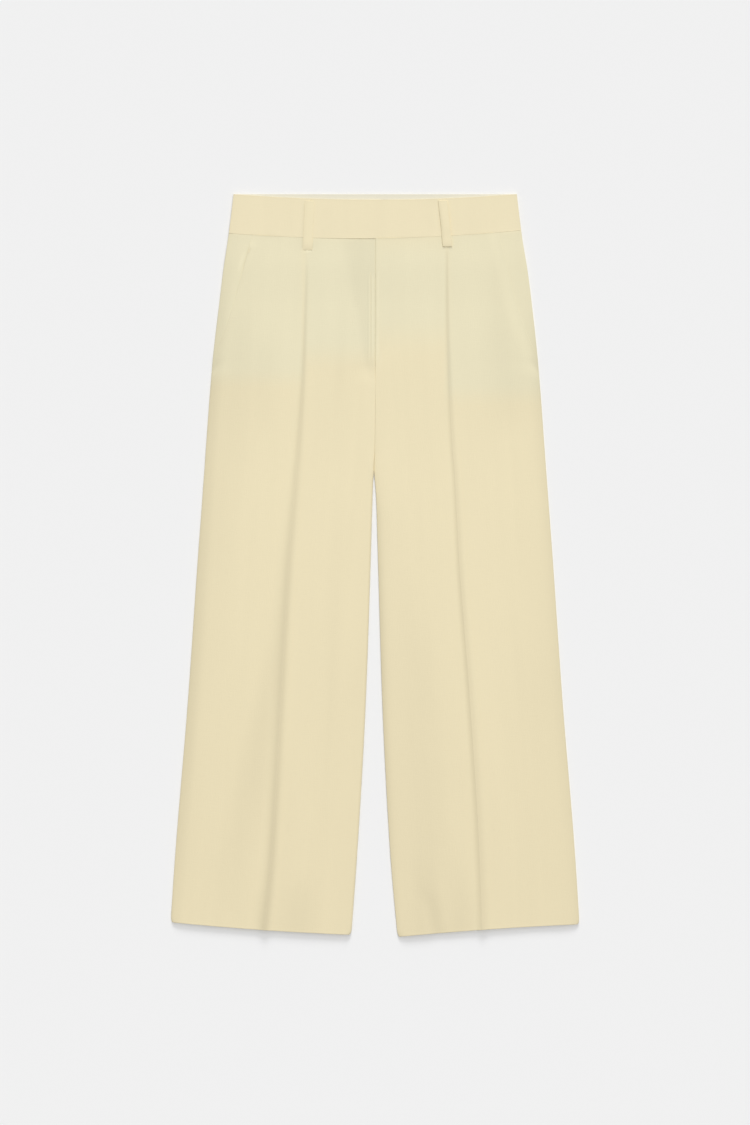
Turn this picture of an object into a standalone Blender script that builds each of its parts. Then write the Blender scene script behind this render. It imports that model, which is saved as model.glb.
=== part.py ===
"""Wide-legged culottes with a pressed crease, laid flat on their back.

Frame: X to the right, Y from the hems up to the waist, Z up from the surface they lie on.
The origin is under the middle of the garment. "Left" and "right" are the viewer's, looking
down on the front. Lengths below are millimetres and become metres where points are made.

Every piece of cloth is a wall: rows of points on its underside, the same points one wall
higher on top, and a border that closes the two. The layers lie on each other, from the
surface up: back belt loops, back panels and back waistband, pocket side pieces and zip,
front panels, front waistband, front belt loops.
"""

import math
from collections import namedtuple

import bmesh
import bpy

MM = 0.001
LEFT = -1
RIGHT = 1

# ---------------------------------------------------------------- driving dimensions

HALF_LENGTH = 464.4        # the hems' lowest corner and the waist's top edge, from the middle
PANEL_WALL = 1.0           # suiting cloth with the turnings behind it
BACK_WALL = 1.0
BAND_WALL = 1.1            # waistband: cloth fused to a stiffener
LOOP_WALL = 1.0
LAYER_GAP = 0.3            # clear space between two pieces, across a seam or between layers
EDGE_MARGIN = 2.0          # how far a panel stays level beyond the edge of a layer under it
CORNER = 0.4               # taken off the corner of a cloth edge

# A row for each section of the trousers, from the hems to the waist.
# side: middle line to side seam.  crease_left, crease_right: middle line to the creases.
# centre: where the middle line runs, beside X = 0.  gap: half the space between the legs.
# body: how high the front stands over the back.  ridge_left, ridge_right: how high the
# pressed creases stand on top of that.  reach: half width of a crease at its foot.
Section = namedtuple("Section", "y side crease_left crease_right centre gap body "
                                "ridge_left ridge_right reach")
SECTIONS = (
    Section(-465.0, 256.8, 139.8, 134.2, -1.0, 29.1, 2.00, 2.80, 2.20, 11.0),
    Section(-355.0, 249.5, 129.3, 130.2, -1.8, 20.4, 2.20, 2.80, 2.30, 10.5),
    Section(-170.0, 234.3, 118.2, 118.7, -1.4, 10.4, 2.30, 2.60, 2.10, 10.0),
    Section(5.0, 222.1, 108.3, 105.3, -1.0, 4.7, 2.40, 2.20, 1.80, 9.0),
    Section(80.0, 216.6, 102.1, 101.4, -1.0, 2.5, 2.40, 2.10, 1.70, 8.0),
    Section(104.0, 214.8, 99.9, 100.1, -1.4, 1.3, 2.40, 2.00, 1.65, 7.5),
    Section(120.0, 213.6, 98.7, 99.2, -1.5, 0.0, 2.40, 1.95, 1.60, 7.0),
    Section(145.0, 211.9, 96.4, 97.0, -0.5, 0.0, 2.40, 1.80, 1.50, 6.5),
    Section(255.0, 203.4, 89.8, 91.5, 0.6, 0.0, 2.30, 1.00, 1.00, 5.0),
    Section(330.0, 195.1, 87.2, 89.6, 0.6, 0.0, 1.60, 0.70, 0.80, 3.8),
    Section(370.0, 190.1, 86.0, 89.3, 0.6, 0.0, 0.90, 0.45, 0.60, 3.0),
    Section(410.0, 183.8, 84.9, 89.2, 0.6, 0.0, 0.10, 0.30, 0.30, 2.6),
    Section(465.0, 177.0, 84.9, 89.2, 0.6, 0.0, 0.10, 0.20, 0.20, 2.6),
)

HEM_ROW = -455.0           # the hems' height at the middle of a leg
HEM_SLANT = 7.9            # a hem is this much lower inside and higher outside
HEM_BOW = {LEFT: 1.7, RIGHT: -1.6}     # and both its ends are higher than its middle by this
HEM_LIFT = {LEFT: -0.6, RIGHT: 0.1}
HEM_MIDDLE = 142.0         # middle of a leg at the hem, and half its width
HEM_HALF_WIDTH = 114.0
HEM_BEND_FROM = -300.0     # rows below this lean over towards the hem's slant
HEM_CORNER = 2.2           # a hem's corners are drawn in by this
HEM_CORNER_REACH = 2.5     # over about this height

# Heights along the leg at which the panels' rows of points run, hem to waist seam.
WAIST_ROW = 410.0
PANEL_ROWS = (
    HEM_ROW, HEM_ROW + 1.5, HEM_ROW + 5.0, -432.0, -385.0, -330.0, -270.0, -205.0, -140.0,
    -75.0, -10.0, 45.0, 85.0, 104.0, 120.0, 140.0, 170.0, 205.0, 235.0, 262.0, 290.0, 325.0,
    355.0, 378.0, 395.0, WAIST_ROW,
)

# Points across a front panel: distances in from its outer edge, beside the crease as shares
# of its reach, and in from its inner edge.
FROM_OUTER = (0.0, 1.5, 4.5, 12.0, 30.0)
BESIDE_CREASE = (1.0, 0.4)
FROM_INNER = (30.0, 12.0, 4.0, 1.2, 0.0)
BACK_FROM_EDGE = (0.0, 1.5, 8.0, 40.0)

# A panel's edge lies low, on the layer behind it. Over each of these widths from the edge the
# panel makes two thirds of the climb to its body's height.
SIDE_ROLL_STEEP = 1.8      # side seam: a steep part next to the edge
SIDE_ROLL_SOFT = 8.0       # and a softer one
STEEP_SHARE = 0.4
POCKET_ROLL = 15.0
INSEAM_ROLL = {LEFT: 1.6, RIGHT: 4.5}
RISE_ROLL = 11.0
RISE_LEVEL = 1.1           # how high the middle seam stands over the back
RIDGE_POWER = 1.5          # makes the crease's sides hollow and its top narrow

SEAM_MIDDLE = 409.0        # waistband seam at the middle line
SEAM_RISE = 8.2            # it is this much higher at the sides
SEAM_TILT = 1.9            # and leans, up at the right
WAIST_BEND_FROM = 325.0
WAIST_HALF_WIDTH = 183.8   # at the seam's middle height

WAIST_STAND = LOOP_WALL + LAYER_GAP    # the waist stands on the back belt loops
STAND_FROM = 325.0         # back panels rise from the surface here
STAND_FULL = 385.0         # and reach that height here
ON_BACK_BAND = WAIST_STAND + BAND_WALL + LAYER_GAP

POCKET_TOP_X = 153.4       # slant pocket edge, at the waist seam
POCKET_SLOPE = 0.285       # and how far out it runs for each millimetre down
POCKET_FOOT_Y = 262.0      # it bends into the side seam here
POCKET_BEND = 6            # power that bends it, all near its foot
POCKET_UNDERLAP = 10.0
POCKET_EASE = 27.0         # the side seam comes down to the back this far below the pocket
POCKET_PIECE_ROWS = (268.0, 290.0, 325.0, 355.0, 378.0, 395.0, WAIST_ROW)
POCKET_PIECE_FROM_EDGE = (0.0, 1.5, 6.0)
OVER_ONE_LAYER = PANEL_WALL + LAYER_GAP + 0.05    # lift that clears one panel wall below

CROTCH_Y = 120.0
RISE_EASE = 55.0           # over this height the inner edges lift into the middle seam
FLY_FOOT_Y = 240.0         # the fly opens above this
FLY_EASE = 25.0            # and its layers part and meet over this height
FLY_UNDERLAP = 6.0         # the left front goes this far under the lap
FLY_FLAT = 7.0             # beside the lap the left front lies low over this width
FLY_SINK_TOP = 74.0        # and rises over this width at the waist
FLY_SINK_FOOT = 40.0       # and over this width at the fly's foot
ZIP_FROM_X = 6.9
ZIP_TO_X = 20.0
ZIP_ROWS = (250.0, 290.0, STAND_FROM, 355.0, 378.0, 395.0, 404.0)

FRONT_TOP_DIP = 7.0        # the front waistband's upper edge is lower at the middle
BAND_EDGE = 1.6            # width of the band's rounded edge
UNDER_END_X = 8.0          # the short waistband ends here, under the long one
TAB_END_X = -83.0          # the tab's end, hidden under the left belt loop
TAB_HIGH_TO = 13.0         # the long waistband lies on the short one up to here
TAB_LOW_FROM = 38.0        # and on the back waistband from here
LONG_BAND_SPANS = 30
SHORT_BAND_SPANS = 8
BACK_BAND_SPANS = 12

# Belt loops: the middle of their upper and lower end.
Loop = namedtuple("Loop", "name top_x foot_x top_y foot_y")
FRONT_LOOPS = (
    Loop("belt_loop_front_left", -82.1, -84.6, 455.6, 394.4),
    Loop("belt_loop_front_right", 84.4, 90.4, 456.4, 398.6),
)
BACK_LOOPS = (
    Loop("belt_loop_back_left", -104.0, -104.0, 460.0, 398.0),
    Loop("belt_loop_back_middle", 0.0, 0.0, 460.0, 398.0),
    Loop("belt_loop_back_right", 104.0, 104.0, 460.0, 398.0),
)
LOOP_ACROSS = (-5.9, -4.9, 4.9, 5.9)   # points across a loop, 11.8 wide
LOOP_FALL_FROM = 1.0       # a front loop leaves the waistband this far under the seam
LOOP_FALL_TO = 9.0         # and lies on the panel from here

# The widest hollows that the front takes over the back: a line and its reach.
Fold = namedtuple("Fold", "x_from y_from x_to y_to reach depth")
FOLDS = (
    Fold(-116.0, 10.0, -163.0, -350.0, 30.0, 0.8),
    Fold(48.0, -60.0, 58.0, -440.0, 34.0, 0.7),
    Fold(64.0, -395.0, 84.0, -455.0, 14.0, 0.5),
    Fold(158.0, 350.0, 150.0, 210.0, 20.0, 0.4),
    Fold(-166.0, 285.0, -160.0, 205.0, 26.0, 0.4),
)


# ---------------------------------------------------------------- curves and heights

def smooth(t):
    """Ease from 0 to 1 as t goes from 0 to 1, flat outside."""
    t = min(max(t, 0.0), 1.0)
    return t * t * (3.0 - 2.0 * t)


def mix(start, end, t):
    return start + (end - start) * t


def slope(column, low, high):
    rise = getattr(high, column) - getattr(low, column)
    return rise / (high.y - low.y)


def tangent(column, index):
    """Slope of a column's smooth curve at one section, with no overshoot."""
    last = len(SECTIONS) - 1
    before = slope(column, SECTIONS[max(index - 1, 0)], SECTIONS[max(index, 1)])
    after = slope(column, SECTIONS[min(index, last - 1)], SECTIONS[min(index + 1, last)])
    if before * after <= 0.0:
        return 0.0
    return 2.0 * before * after / (before + after)


def along(column, y):
    """A section column's value at height y, on a smooth curve through its rows."""
    index = 0
    while index < len(SECTIONS) - 2 and y > SECTIONS[index + 1].y:
        index += 1
    low = SECTIONS[index]
    high = SECTIONS[index + 1]
    step = high.y - low.y
    t = min(max((y - low.y) / step, 0.0), 1.0)
    start = getattr(low, column)
    end = getattr(high, column)
    from_start = step * tangent(column, index) * t * (1.0 - t) ** 2
    from_end = step * tangent(column, index + 1) * t * t * (1.0 - t)
    return mix(start, end, smooth(t)) + from_start - from_end


def seam_y(x):
    """The curved waistband seam."""
    across = x / WAIST_HALF_WIDTH
    return SEAM_MIDDLE + SEAM_RISE * across * across + SEAM_TILT * across


def front_top_y(x):
    """The upper edge of the front waistband."""
    across = x / WAIST_HALF_WIDTH
    return HALF_LENGTH - FRONT_TOP_DIP * (1.0 - across * across)


def bent_y(row_y, x):
    """Where a panel row runs at x: rows lean into the hem's slant and the waist's curve."""
    hem_part = smooth((HEM_BEND_FROM - row_y) / (HEM_BEND_FROM - HEM_ROW))
    waist_part = smooth((row_y - WAIST_BEND_FROM) / (WAIST_ROW - WAIST_BEND_FROM))
    leg = LEFT if x < 0.0 else RIGHT
    across = (abs(x) - HEM_MIDDLE) / HEM_HALF_WIDTH
    hem_bend = HEM_LIFT[leg] + HEM_SLANT * across + HEM_BOW[leg] * across * across
    waist_bend = seam_y(x) - LAYER_GAP / 2 - WAIST_ROW
    return row_y + hem_part * hem_bend + waist_part * waist_bend


def stand(y):
    """How high the back panels' outer face stands over the surface."""
    return WAIST_STAND * smooth((y - STAND_FROM) / (STAND_FULL - STAND_FROM))


def on_back(y):
    """Lowest height of whatever lies on a back panel."""
    return stand(y) + BACK_WALL + LAYER_GAP


def side_x(leg, row_y):
    """The side seam at one row of a leg, its corner at the hem drawn in."""
    side = along("side", bent_y(row_y, leg * along("side", row_y)))
    return leg * (side - hem_corner(row_y))


def hem_corner(row_y):
    """How far a leg's edges are drawn in at its hem's corners."""
    return HEM_CORNER * math.exp((HEM_ROW - row_y) / HEM_CORNER_REACH)


def pocket_edge_x(y):
    """Distance of the slant pocket edge from the middle line."""
    drop = WAIST_ROW - y
    depth = WAIST_ROW - POCKET_FOOT_Y
    straight_foot = POCKET_TOP_X + POCKET_SLOPE * depth
    bend = (along("side", POCKET_FOOT_Y) - straight_foot) * (drop / depth) ** POCKET_BEND
    return POCKET_TOP_X + POCKET_SLOPE * drop + bend


def inner_x(leg, row_y):
    """The inner edge of a leg, or the middle seam above the crotch, at one row."""
    y = bent_y(row_y, leg * along("gap", row_y))
    half_gap = max(along("gap", y), LAYER_GAP / 2)
    return along("centre", y) + leg * (half_gap + hem_corner(row_y))


def crease_x(leg, y):
    column = "crease_left" if leg == LEFT else "crease_right"
    return leg * along(column, y)


def fold_depth(x, y):
    """Sum of the wide hollows at a point."""
    depth = 0.0
    for fold in FOLDS:
        run_x = fold.x_to - fold.x_from
        run_y = fold.y_to - fold.y_from
        t = ((x - fold.x_from) * run_x + (y - fold.y_from) * run_y) / (run_x ** 2 + run_y ** 2)
        t = min(max(t, 0.0), 1.0)
        away_x = x - fold.x_from - t * run_x
        away_y = y - fold.y_from - t * run_y
        away = (away_x ** 2 + away_y ** 2) ** 0.5
        depth += fold.depth * (1.0 - smooth(away / fold.reach))
    return depth


# ---------------------------------------------------------------- the front panels' form

# Edges of a front panel at one row. Along an edge the panel keeps a level over a flat width,
# then rolls to the body's height.
FrontRow = namedtuple("FrontRow", "leg y outer inner crease outer_level outer_flat "
                                  "inner_level inner_flat inner_roll")


def fly_part(row_y):
    """0 below the fly, 1 along it."""
    return smooth((row_y - FLY_FOOT_Y) / FLY_EASE + 1.0)


def front_row(leg, row_y):
    """The edges of a front panel at one row and how it leaves them."""
    in_pocket = row_y >= POCKET_FOOT_Y
    outer = leg * pocket_edge_x(row_y) if in_pocket else side_x(leg, row_y)
    pocket_part = smooth((row_y - POCKET_FOOT_Y) / POCKET_EASE + 1.0)
    outer_level = OVER_ONE_LAYER * pocket_part
    outer_flat = (POCKET_UNDERLAP + EDGE_MARGIN) * pocket_part
    inner = inner_x(leg, row_y)
    rise_part = smooth((row_y - CROTCH_Y) / RISE_EASE)
    inner_level = RISE_LEVEL * rise_part
    inner_roll = mix(INSEAM_ROLL[leg], RISE_ROLL, rise_part)
    if leg == LEFT:
        inner_flat = FLY_UNDERLAP * smooth((row_y - FLY_FOOT_Y) / FLY_EASE)
        inner += inner_flat
        inner_level = mix(inner_level, 0.0, fly_part(row_y))
    else:
        inner_level = mix(inner_level, OVER_ONE_LAYER, fly_part(row_y))
        inner_flat = (ZIP_TO_X + EDGE_MARGIN) * fly_part(row_y)
    return FrontRow(leg, row_y, outer, inner, crease_x(leg, row_y), outer_level, outer_flat,
                    inner_level, inner_flat, inner_roll)


def outer_share(row, x):
    """1 at a front panel's outer edge, where it keeps that edge's level, 0 far from it."""
    away = max(abs(x - row.outer) - row.outer_flat, 0.0)
    steep = STEEP_SHARE * math.exp(-away / SIDE_ROLL_STEEP)
    side = steep + (1.0 - STEEP_SHARE) * math.exp(-away / SIDE_ROLL_SOFT)
    pocket = math.exp(-away / POCKET_ROLL)
    return mix(side, pocket, smooth((row.y - POCKET_FOOT_Y) / POCKET_EASE + 1.0))


def inner_share(row, x):
    """The same at its inner edge; beside the fly's lap the left panel stays low for longer."""
    away = max(abs(x - row.inner) - row.inner_flat, 0.0)
    share = math.exp(-away / row.inner_roll)
    if row.leg == LEFT:
        up = (row.y - FLY_FOOT_Y) / (WAIST_ROW - FLY_FOOT_Y)
        low = 1.0 - smooth((away - FLY_FLAT) / mix(FLY_SINK_FOOT, FLY_SINK_TOP, up))
        share = mix(share, low, fly_part(row.y))
    return share


def ridge_lift(row, x):
    """Height of the pressed crease at a point of a front panel."""
    rise = along("ridge_left" if row.leg == LEFT else "ridge_right", row.y)
    near = max(0.0, 1.0 - abs(x - row.crease) / along("reach", row.y))
    return rise * near ** RIDGE_POWER


def front_lift(row, x):
    """Height of a front panel's underside over what carries it, at one point."""
    body = along("body", row.y)
    outer_drop = (body - row.outer_level) * outer_share(row, x)
    inner_drop = (body - row.inner_level) * inner_share(row, x)
    return max(0.0, body - outer_drop - inner_drop + ridge_lift(row, x) - fold_depth(x, row.y))


def front_columns(row):
    """The x of each point across a front panel, from its outer to its inner edge."""
    way = 1.0 if row.inner > row.outer else -1.0
    reach = along("reach", row.y)
    from_outer = [row.outer + way * step for step in FROM_OUTER]
    before = [row.crease - way * share * reach for share in BESIDE_CREASE]
    behind = [row.crease + way * share * reach for share in reversed(BESIDE_CREASE)]
    from_inner = [row.inner - way * step for step in FROM_INNER]
    outer_half = [mix(from_outer[-1], before[0], 0.5)]
    inner_half = [mix(behind[-1], from_inner[0], 0.5)]
    return from_outer + outer_half + before + [row.crease] + behind + inner_half + from_inner


def front_under_z(leg, row_y, x):
    """Height of a front panel's underside."""
    return on_back(row_y) + front_lift(front_row(leg, row_y), x)


# ---------------------------------------------------------------- meshes and materials

def linear(hex_colour):
    """An sRGB colour as the linear numbers that a shader takes."""
    parts = [int(hex_colour[i:i + 2], 16) / 255.0 for i in (0, 2, 4)]
    return [((c + 0.055) / 1.055) ** 2.4 if c > 0.04045 else c / 12.92 for c in parts] + [1.0]


def cloth_material(name, hex_colour, roughness):
    material = bpy.data.materials.new(name)
    material.use_nodes = True
    shader = material.node_tree.nodes["Principled BSDF"]
    shader.inputs["Base Color"].default_value = linear(hex_colour)
    shader.inputs["Roughness"].default_value = roughness
    shader.inputs["Metallic"].default_value = 0.0
    return material


def cloth_wall(name, rows, wall, material, crown=CORNER, keel=0.0):
    """A closed wall of cloth from rows of underside points.

    crown takes the upper corner off along the first and last point of the rows,
    keel does the same to the lower corner.
    """
    mesh = bmesh.new()
    under = []
    over = []
    last = len(rows[0]) - 1
    for row in rows:
        under_row = []
        over_row = []
        for index, (x, y, z) in enumerate(row):
            at_edge = index in (0, last)
            low = z + (keel if at_edge else 0.0)
            high = z + wall - (crown if at_edge else 0.0)
            under_row.append(mesh.verts.new((x * MM, y * MM, low * MM)))
            over_row.append(mesh.verts.new((x * MM, y * MM, high * MM)))
        under.append(under_row)
        over.append(over_row)
    for a, b in zip(range(len(rows) - 1), range(1, len(rows))):
        for i, j in zip(range(last), range(1, last + 1)):
            mesh.faces.new((under[a][i], under[b][i], under[b][j], under[a][j]))
            mesh.faces.new((over[a][i], over[a][j], over[b][j], over[b][i]))
        for edge in (0, last):
            mesh.faces.new((under[a][edge], under[b][edge], over[b][edge], over[a][edge]))
    for end in (0, -1):
        for i, j in zip(range(last), range(1, last + 1)):
            mesh.faces.new((under[end][i], under[end][j], over[end][j], over[end][i]))
    bmesh.ops.recalc_face_normals(mesh, faces=mesh.faces)
    data = bpy.data.meshes.new(name)
    mesh.to_mesh(data)
    mesh.free()
    data.shade_smooth()
    data.set_sharp_from_angle(angle=0.6)
    data.materials.append(material)
    piece = bpy.data.objects.new(name, data)
    bpy.context.scene.collection.objects.link(piece)
    return piece


# ---------------------------------------------------------------- pieces

def make_back_leg(leg, name, material):
    """Back panel: flat on the surface, its upper edge on the belt loops' level."""
    rows = []
    for row_y in PANEL_ROWS:
        outer = side_x(leg, row_y)
        inner = inner_x(leg, row_y)
        way = 1.0 if inner > outer else -1.0
        xs = [outer + way * step for step in BACK_FROM_EDGE]
        xs.append(crease_x(leg, row_y))
        xs += [inner - way * step for step in reversed(BACK_FROM_EDGE)]
        rows.append([(x, bent_y(row_y, x), stand(row_y)) for x in xs])
    return cloth_wall(name, rows, BACK_WALL, material, crown=0.0, keel=CORNER)


def make_front_leg(leg, name, material):
    """Front panel with its crease, its slant pocket edge and its side of the fly."""
    rows = []
    for row_y in PANEL_ROWS:
        row = front_row(leg, row_y)
        rows.append([(x, bent_y(row_y, x), on_back(row_y) + front_lift(row, x))
                     for x in front_columns(row)])
    return cloth_wall(name, rows, PANEL_WALL, material)


def make_pocket_side(leg, name, material):
    """The corner behind the slant pocket edge, which it passes under."""
    rows = []
    for row_y in POCKET_PIECE_ROWS:
        outer = side_x(leg, row_y)
        inner = leg * (pocket_edge_x(row_y) - POCKET_UNDERLAP)
        xs = [outer - leg * step for step in POCKET_PIECE_FROM_EDGE] + [inner]
        rows.append([(x, bent_y(row_y, x), on_back(row_y)) for x in xs])
    return cloth_wall(name, rows, PANEL_WALL, material)


def band_height(x):
    """Underside of the long front waistband: high over the short one, then low."""
    low_part = smooth((x - TAB_HIGH_TO) / (TAB_LOW_FROM - TAB_HIGH_TO))
    return mix(ON_BACK_BAND + BAND_WALL + LAYER_GAP, ON_BACK_BAND, low_part)


def band_seam_y(x):
    """The lower edge of a waistband, just clear of the panels' upper edges."""
    return seam_y(x) + LAYER_GAP / 2


def band_rows(from_x, to_x, spans, upper_y, under_z):
    """Rows of a waistband strip, each across the strip, from one end to the other."""
    rows = []
    for index in range(spans + 1):
        x = mix(from_x, to_x, index / spans)
        low = band_seam_y(x)
        high = upper_y(x)
        row = []
        for y in (low, low + BAND_EDGE, mix(low, high, 0.5), high - BAND_EDGE, high):
            lean = along("side", y) / WAIST_HALF_WIDTH
            row.append((x * lean, y, under_z(x)))
        rows.append(row)
    return rows


def make_waistband_back(name, material):
    rows = band_rows(-WAIST_HALF_WIDTH, WAIST_HALF_WIDTH, BACK_BAND_SPANS,
                     lambda x: HALF_LENGTH, lambda x: WAIST_STAND)
    return cloth_wall(name, rows, BAND_WALL, material, keel=CORNER)


def make_waistband_front_left(name, material):
    """The short part, from the left side seam to its end under the long part."""
    rows = band_rows(-WAIST_HALF_WIDTH, UNDER_END_X, SHORT_BAND_SPANS, front_top_y,
                     lambda x: ON_BACK_BAND)
    return cloth_wall(name, rows, BAND_WALL, material)


def make_waistband_front_right(name, material):
    """The long part: from the right side seam over the middle, ending in the tab."""
    rows = band_rows(TAB_END_X, WAIST_HALF_WIDTH, LONG_BAND_SPANS, front_top_y, band_height)
    return cloth_wall(name, rows, BAND_WALL, material)


def make_front_loop(loop, leg, material):
    """A strip sewn down over the waistband and, below it, on the front panel."""
    seam = seam_y(loop.foot_x)
    fall_from = seam - LOOP_FALL_FROM
    fall_to = seam - LOOP_FALL_TO
    on_band = band_height(min(loop.top_x, loop.foot_x)) + BAND_WALL + LAYER_GAP
    under_foot = [loop.foot_x + step for step in LOOP_ACROSS] + [crease_x(leg, loop.foot_y)]
    on_panel = max(front_under_z(leg, loop.foot_y, x) for x in under_foot) + PANEL_WALL + LAYER_GAP
    rows = []
    for y in (loop.foot_y, mix(loop.foot_y, fall_to, 0.5), fall_to, mix(fall_to, fall_from, 0.5),
              fall_from, mix(fall_from, loop.top_y, 0.5), loop.top_y):
        part = (y - loop.foot_y) / (loop.top_y - loop.foot_y)
        middle = mix(loop.foot_x, loop.top_x, part)
        z = mix(on_panel, on_band, smooth((y - fall_to) / (fall_from - fall_to)))
        rows.append([(middle + step, y, z) for step in LOOP_ACROSS])
    return cloth_wall(loop.name, rows, LOOP_WALL, material)


def make_back_loop(loop, material):
    """A strip under the back waistband, flat on the surface."""
    rows = [[(loop.top_x + step, y, 0.0) for step in LOOP_ACROSS]
            for y in (loop.foot_y, loop.top_y)]
    return cloth_wall(loop.name, rows, LOOP_WALL, material, crown=0.0)


def make_fly_zip(name, material):
    """Closed zip beside the left front's edge, covered by the lap."""
    rows = [[(x, row_y, on_back(row_y)) for x in (ZIP_FROM_X, ZIP_TO_X)]
            for row_y in ZIP_ROWS]
    return cloth_wall(name, rows, PANEL_WALL, material, crown=0.0)


def build():
    for old in list(bpy.data.objects):
        bpy.data.objects.remove(old, do_unlink=True)
    front_cloth = cloth_material("front_suiting", "ecdfba", 0.82)
    back_cloth = cloth_material("back_suiting", "ead9b3", 0.82)
    pocket_cloth = cloth_material("pocket_suiting", "e8dab6", 0.82)
    band_cloth = cloth_material("waistband_suiting", "eee1be", 0.80)
    loop_cloth = cloth_material("belt_loop_suiting", "f0e3c1", 0.80)
    zip_tape = cloth_material("zip_tape", "e6dcc0", 0.60)

    make_back_leg(LEFT, "back_leg_left", back_cloth)
    make_back_leg(RIGHT, "back_leg_right", back_cloth)
    make_pocket_side(LEFT, "pocket_side_left", pocket_cloth)
    make_pocket_side(RIGHT, "pocket_side_right", pocket_cloth)
    make_front_leg(LEFT, "front_leg_left", front_cloth)
    make_front_leg(RIGHT, "front_leg_right", front_cloth)
    make_fly_zip("fly_zip", zip_tape)
    make_waistband_back("waistband_back", band_cloth)
    make_waistband_front_left("waistband_front_left", band_cloth)
    make_waistband_front_right("waistband_front_right", band_cloth)
    for loop, leg in zip(FRONT_LOOPS, (LEFT, RIGHT)):
        make_front_loop(loop, leg, loop_cloth)
    for loop in BACK_LOOPS:
        make_back_loop(loop, loop_cloth)


build()
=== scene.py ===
# %% [markdown]
# # Wide-legged culottes, laid flat
#
# The real garment is cut from a light, butter-yellow suiting: two front legs with a pressed
# crease, two back legs, slant pockets, a zipped fly under a lap, and a waistband in three
# pieces that closes with a tab. It lies on its back, so what shows is mostly cloth. Cloth
# looks real when three things are right: the soft form of each layer, the thin dark lines
# where one layer ends on another, and a matte surface that is never one flat colour.
#
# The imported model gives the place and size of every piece. Each piece is modelled here again
# as a fine thin shell in the same place, and then stands for its coarse solid.

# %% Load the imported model
import math
from collections import namedtuple

import bpy
import numpy as np
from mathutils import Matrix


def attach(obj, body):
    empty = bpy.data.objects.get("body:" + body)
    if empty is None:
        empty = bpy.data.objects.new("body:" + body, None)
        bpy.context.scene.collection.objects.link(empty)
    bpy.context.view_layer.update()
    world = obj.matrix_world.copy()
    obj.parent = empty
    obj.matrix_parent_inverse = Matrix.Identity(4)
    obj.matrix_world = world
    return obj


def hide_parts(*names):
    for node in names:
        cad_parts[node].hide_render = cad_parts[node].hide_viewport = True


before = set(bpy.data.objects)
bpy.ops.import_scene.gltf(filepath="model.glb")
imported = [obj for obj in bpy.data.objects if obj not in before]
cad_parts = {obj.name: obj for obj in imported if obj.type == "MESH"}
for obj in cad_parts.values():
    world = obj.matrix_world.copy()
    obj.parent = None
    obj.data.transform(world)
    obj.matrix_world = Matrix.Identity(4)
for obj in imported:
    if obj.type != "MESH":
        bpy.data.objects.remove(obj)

MM = 0.001
LEFT, RIGHT = -1, 1
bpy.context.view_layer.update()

# %% [markdown]
# ## The cutting table
#
# A pattern cutter grades trousers by sections: at a few heights along the leg the table
# says how far the side seam, the crease and the inner leg are from the middle. Smooth curves
# through those rows give every other height. Numbers are millimetres, Y runs from the hems
# up to the waist, and "left" and "right" are those of someone looking down on the front.

# %% Sections of the trousers
def table(kind, *rows):
    """A table whose rows have the named columns of their kind."""
    return tuple(kind(*row) for row in rows)


Section = namedtuple("Section", "y side_left side_right crease_left crease_right centre gap "
                                "body")
SECTIONS = table(
    Section,
    (-465, 257.1, 256.6, 139.8, 134.2, -1, 29.1, 2),
    (-355, 249.5, 249.5, 129.3, 130.2, -1.8, 20.4, 2.2),
    (-170, 234.2, 234.4, 118.2, 118.7, -1.4, 10.4, 2.3),
    (5, 222, 222.3, 108.3, 105.3, -1, 4.7, 2.4),
    (80, 216.4, 216.8, 102.1, 101.4, -1, 2.5, 2.4),
    (104, 214.7, 215, 99.9, 100.1, -1.4, 1.3, 2.4),
    (120, 213.5, 213.8, 98.7, 99.2, -1.5, 0, 2.4),
    (145, 211.8, 212, 96.4, 97, -0.5, 0, 2.4),
    (255, 203.3, 203.6, 89.8, 91.5, 0.6, 0, 2.3),
    (330, 194.7, 195.6, 87.2, 89.6, 0.6, 0, 1.6),
    (370, 189.8, 190.4, 86, 89.3, 0.6, 0, 0.9),
    (410, 183.8, 183.8, 84.9, 89.2, 0.6, 0, 0.1),
    (465, 177, 177, 84.9, 89.2, 0.6, 0, 0.1),
)


def smooth(t):
    """Ease from 0 to 1 while t goes from 0 to 1."""
    t = np.clip(t, 0.0, 1.0)
    return t * t * (3.0 - 2.0 * t)


def mix(start, end, t):
    return start + (end - start) * t


def rising(place, start, length):
    """0 up to a start, then easing to 1 over a length."""
    return smooth((place - start) / length)


def between(place, start, ease_in, end, ease_out):
    """1 between two places, eased in after the first and out after the second."""
    return rising(place, start, ease_in) * (1.0 - rising(place, end, ease_out))


def fade(distance, reach):
    """1 at no distance, fading away over a reach."""
    return np.exp(-distance / reach)


def bell(distance, width):
    """1 in the middle, fading away softly to both sides."""
    return np.exp(-(distance / width) ** 2)


def along(rows, column, place):
    """A column at a place in a table's first column, on a curve that never overshoots."""
    at = np.array([row[0] for row in rows])
    value = np.array([getattr(row, column) for row in rows])
    slope = np.diff(value) / np.diff(at)
    before = np.concatenate([slope[:1], slope])
    after = np.concatenate([slope, slope[-1:]])
    same_way = before * after > 0.0
    both = np.where(same_way, before + after, 1.0)
    tangent = np.where(same_way, 2.0 * before * after / both, 0.0)
    place = np.asarray(place, float)
    low = np.clip(np.searchsorted(at, place) - 1, 0, len(at) - 2)
    step = at[low + 1] - at[low]
    t = np.clip((place - at[low]) / step, 0.0, 1.0)
    curve = mix(value[low], value[low + 1], smooth(t))
    return (curve + step * tangent[low] * t * (1.0 - t) ** 2
            - step * tangent[low + 1] * t * t * (1.0 - t))


def side_x(leg, y):
    """Distance from the middle to a side seam."""
    return along(SECTIONS, "side_left" if leg == LEFT else "side_right", y)


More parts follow.
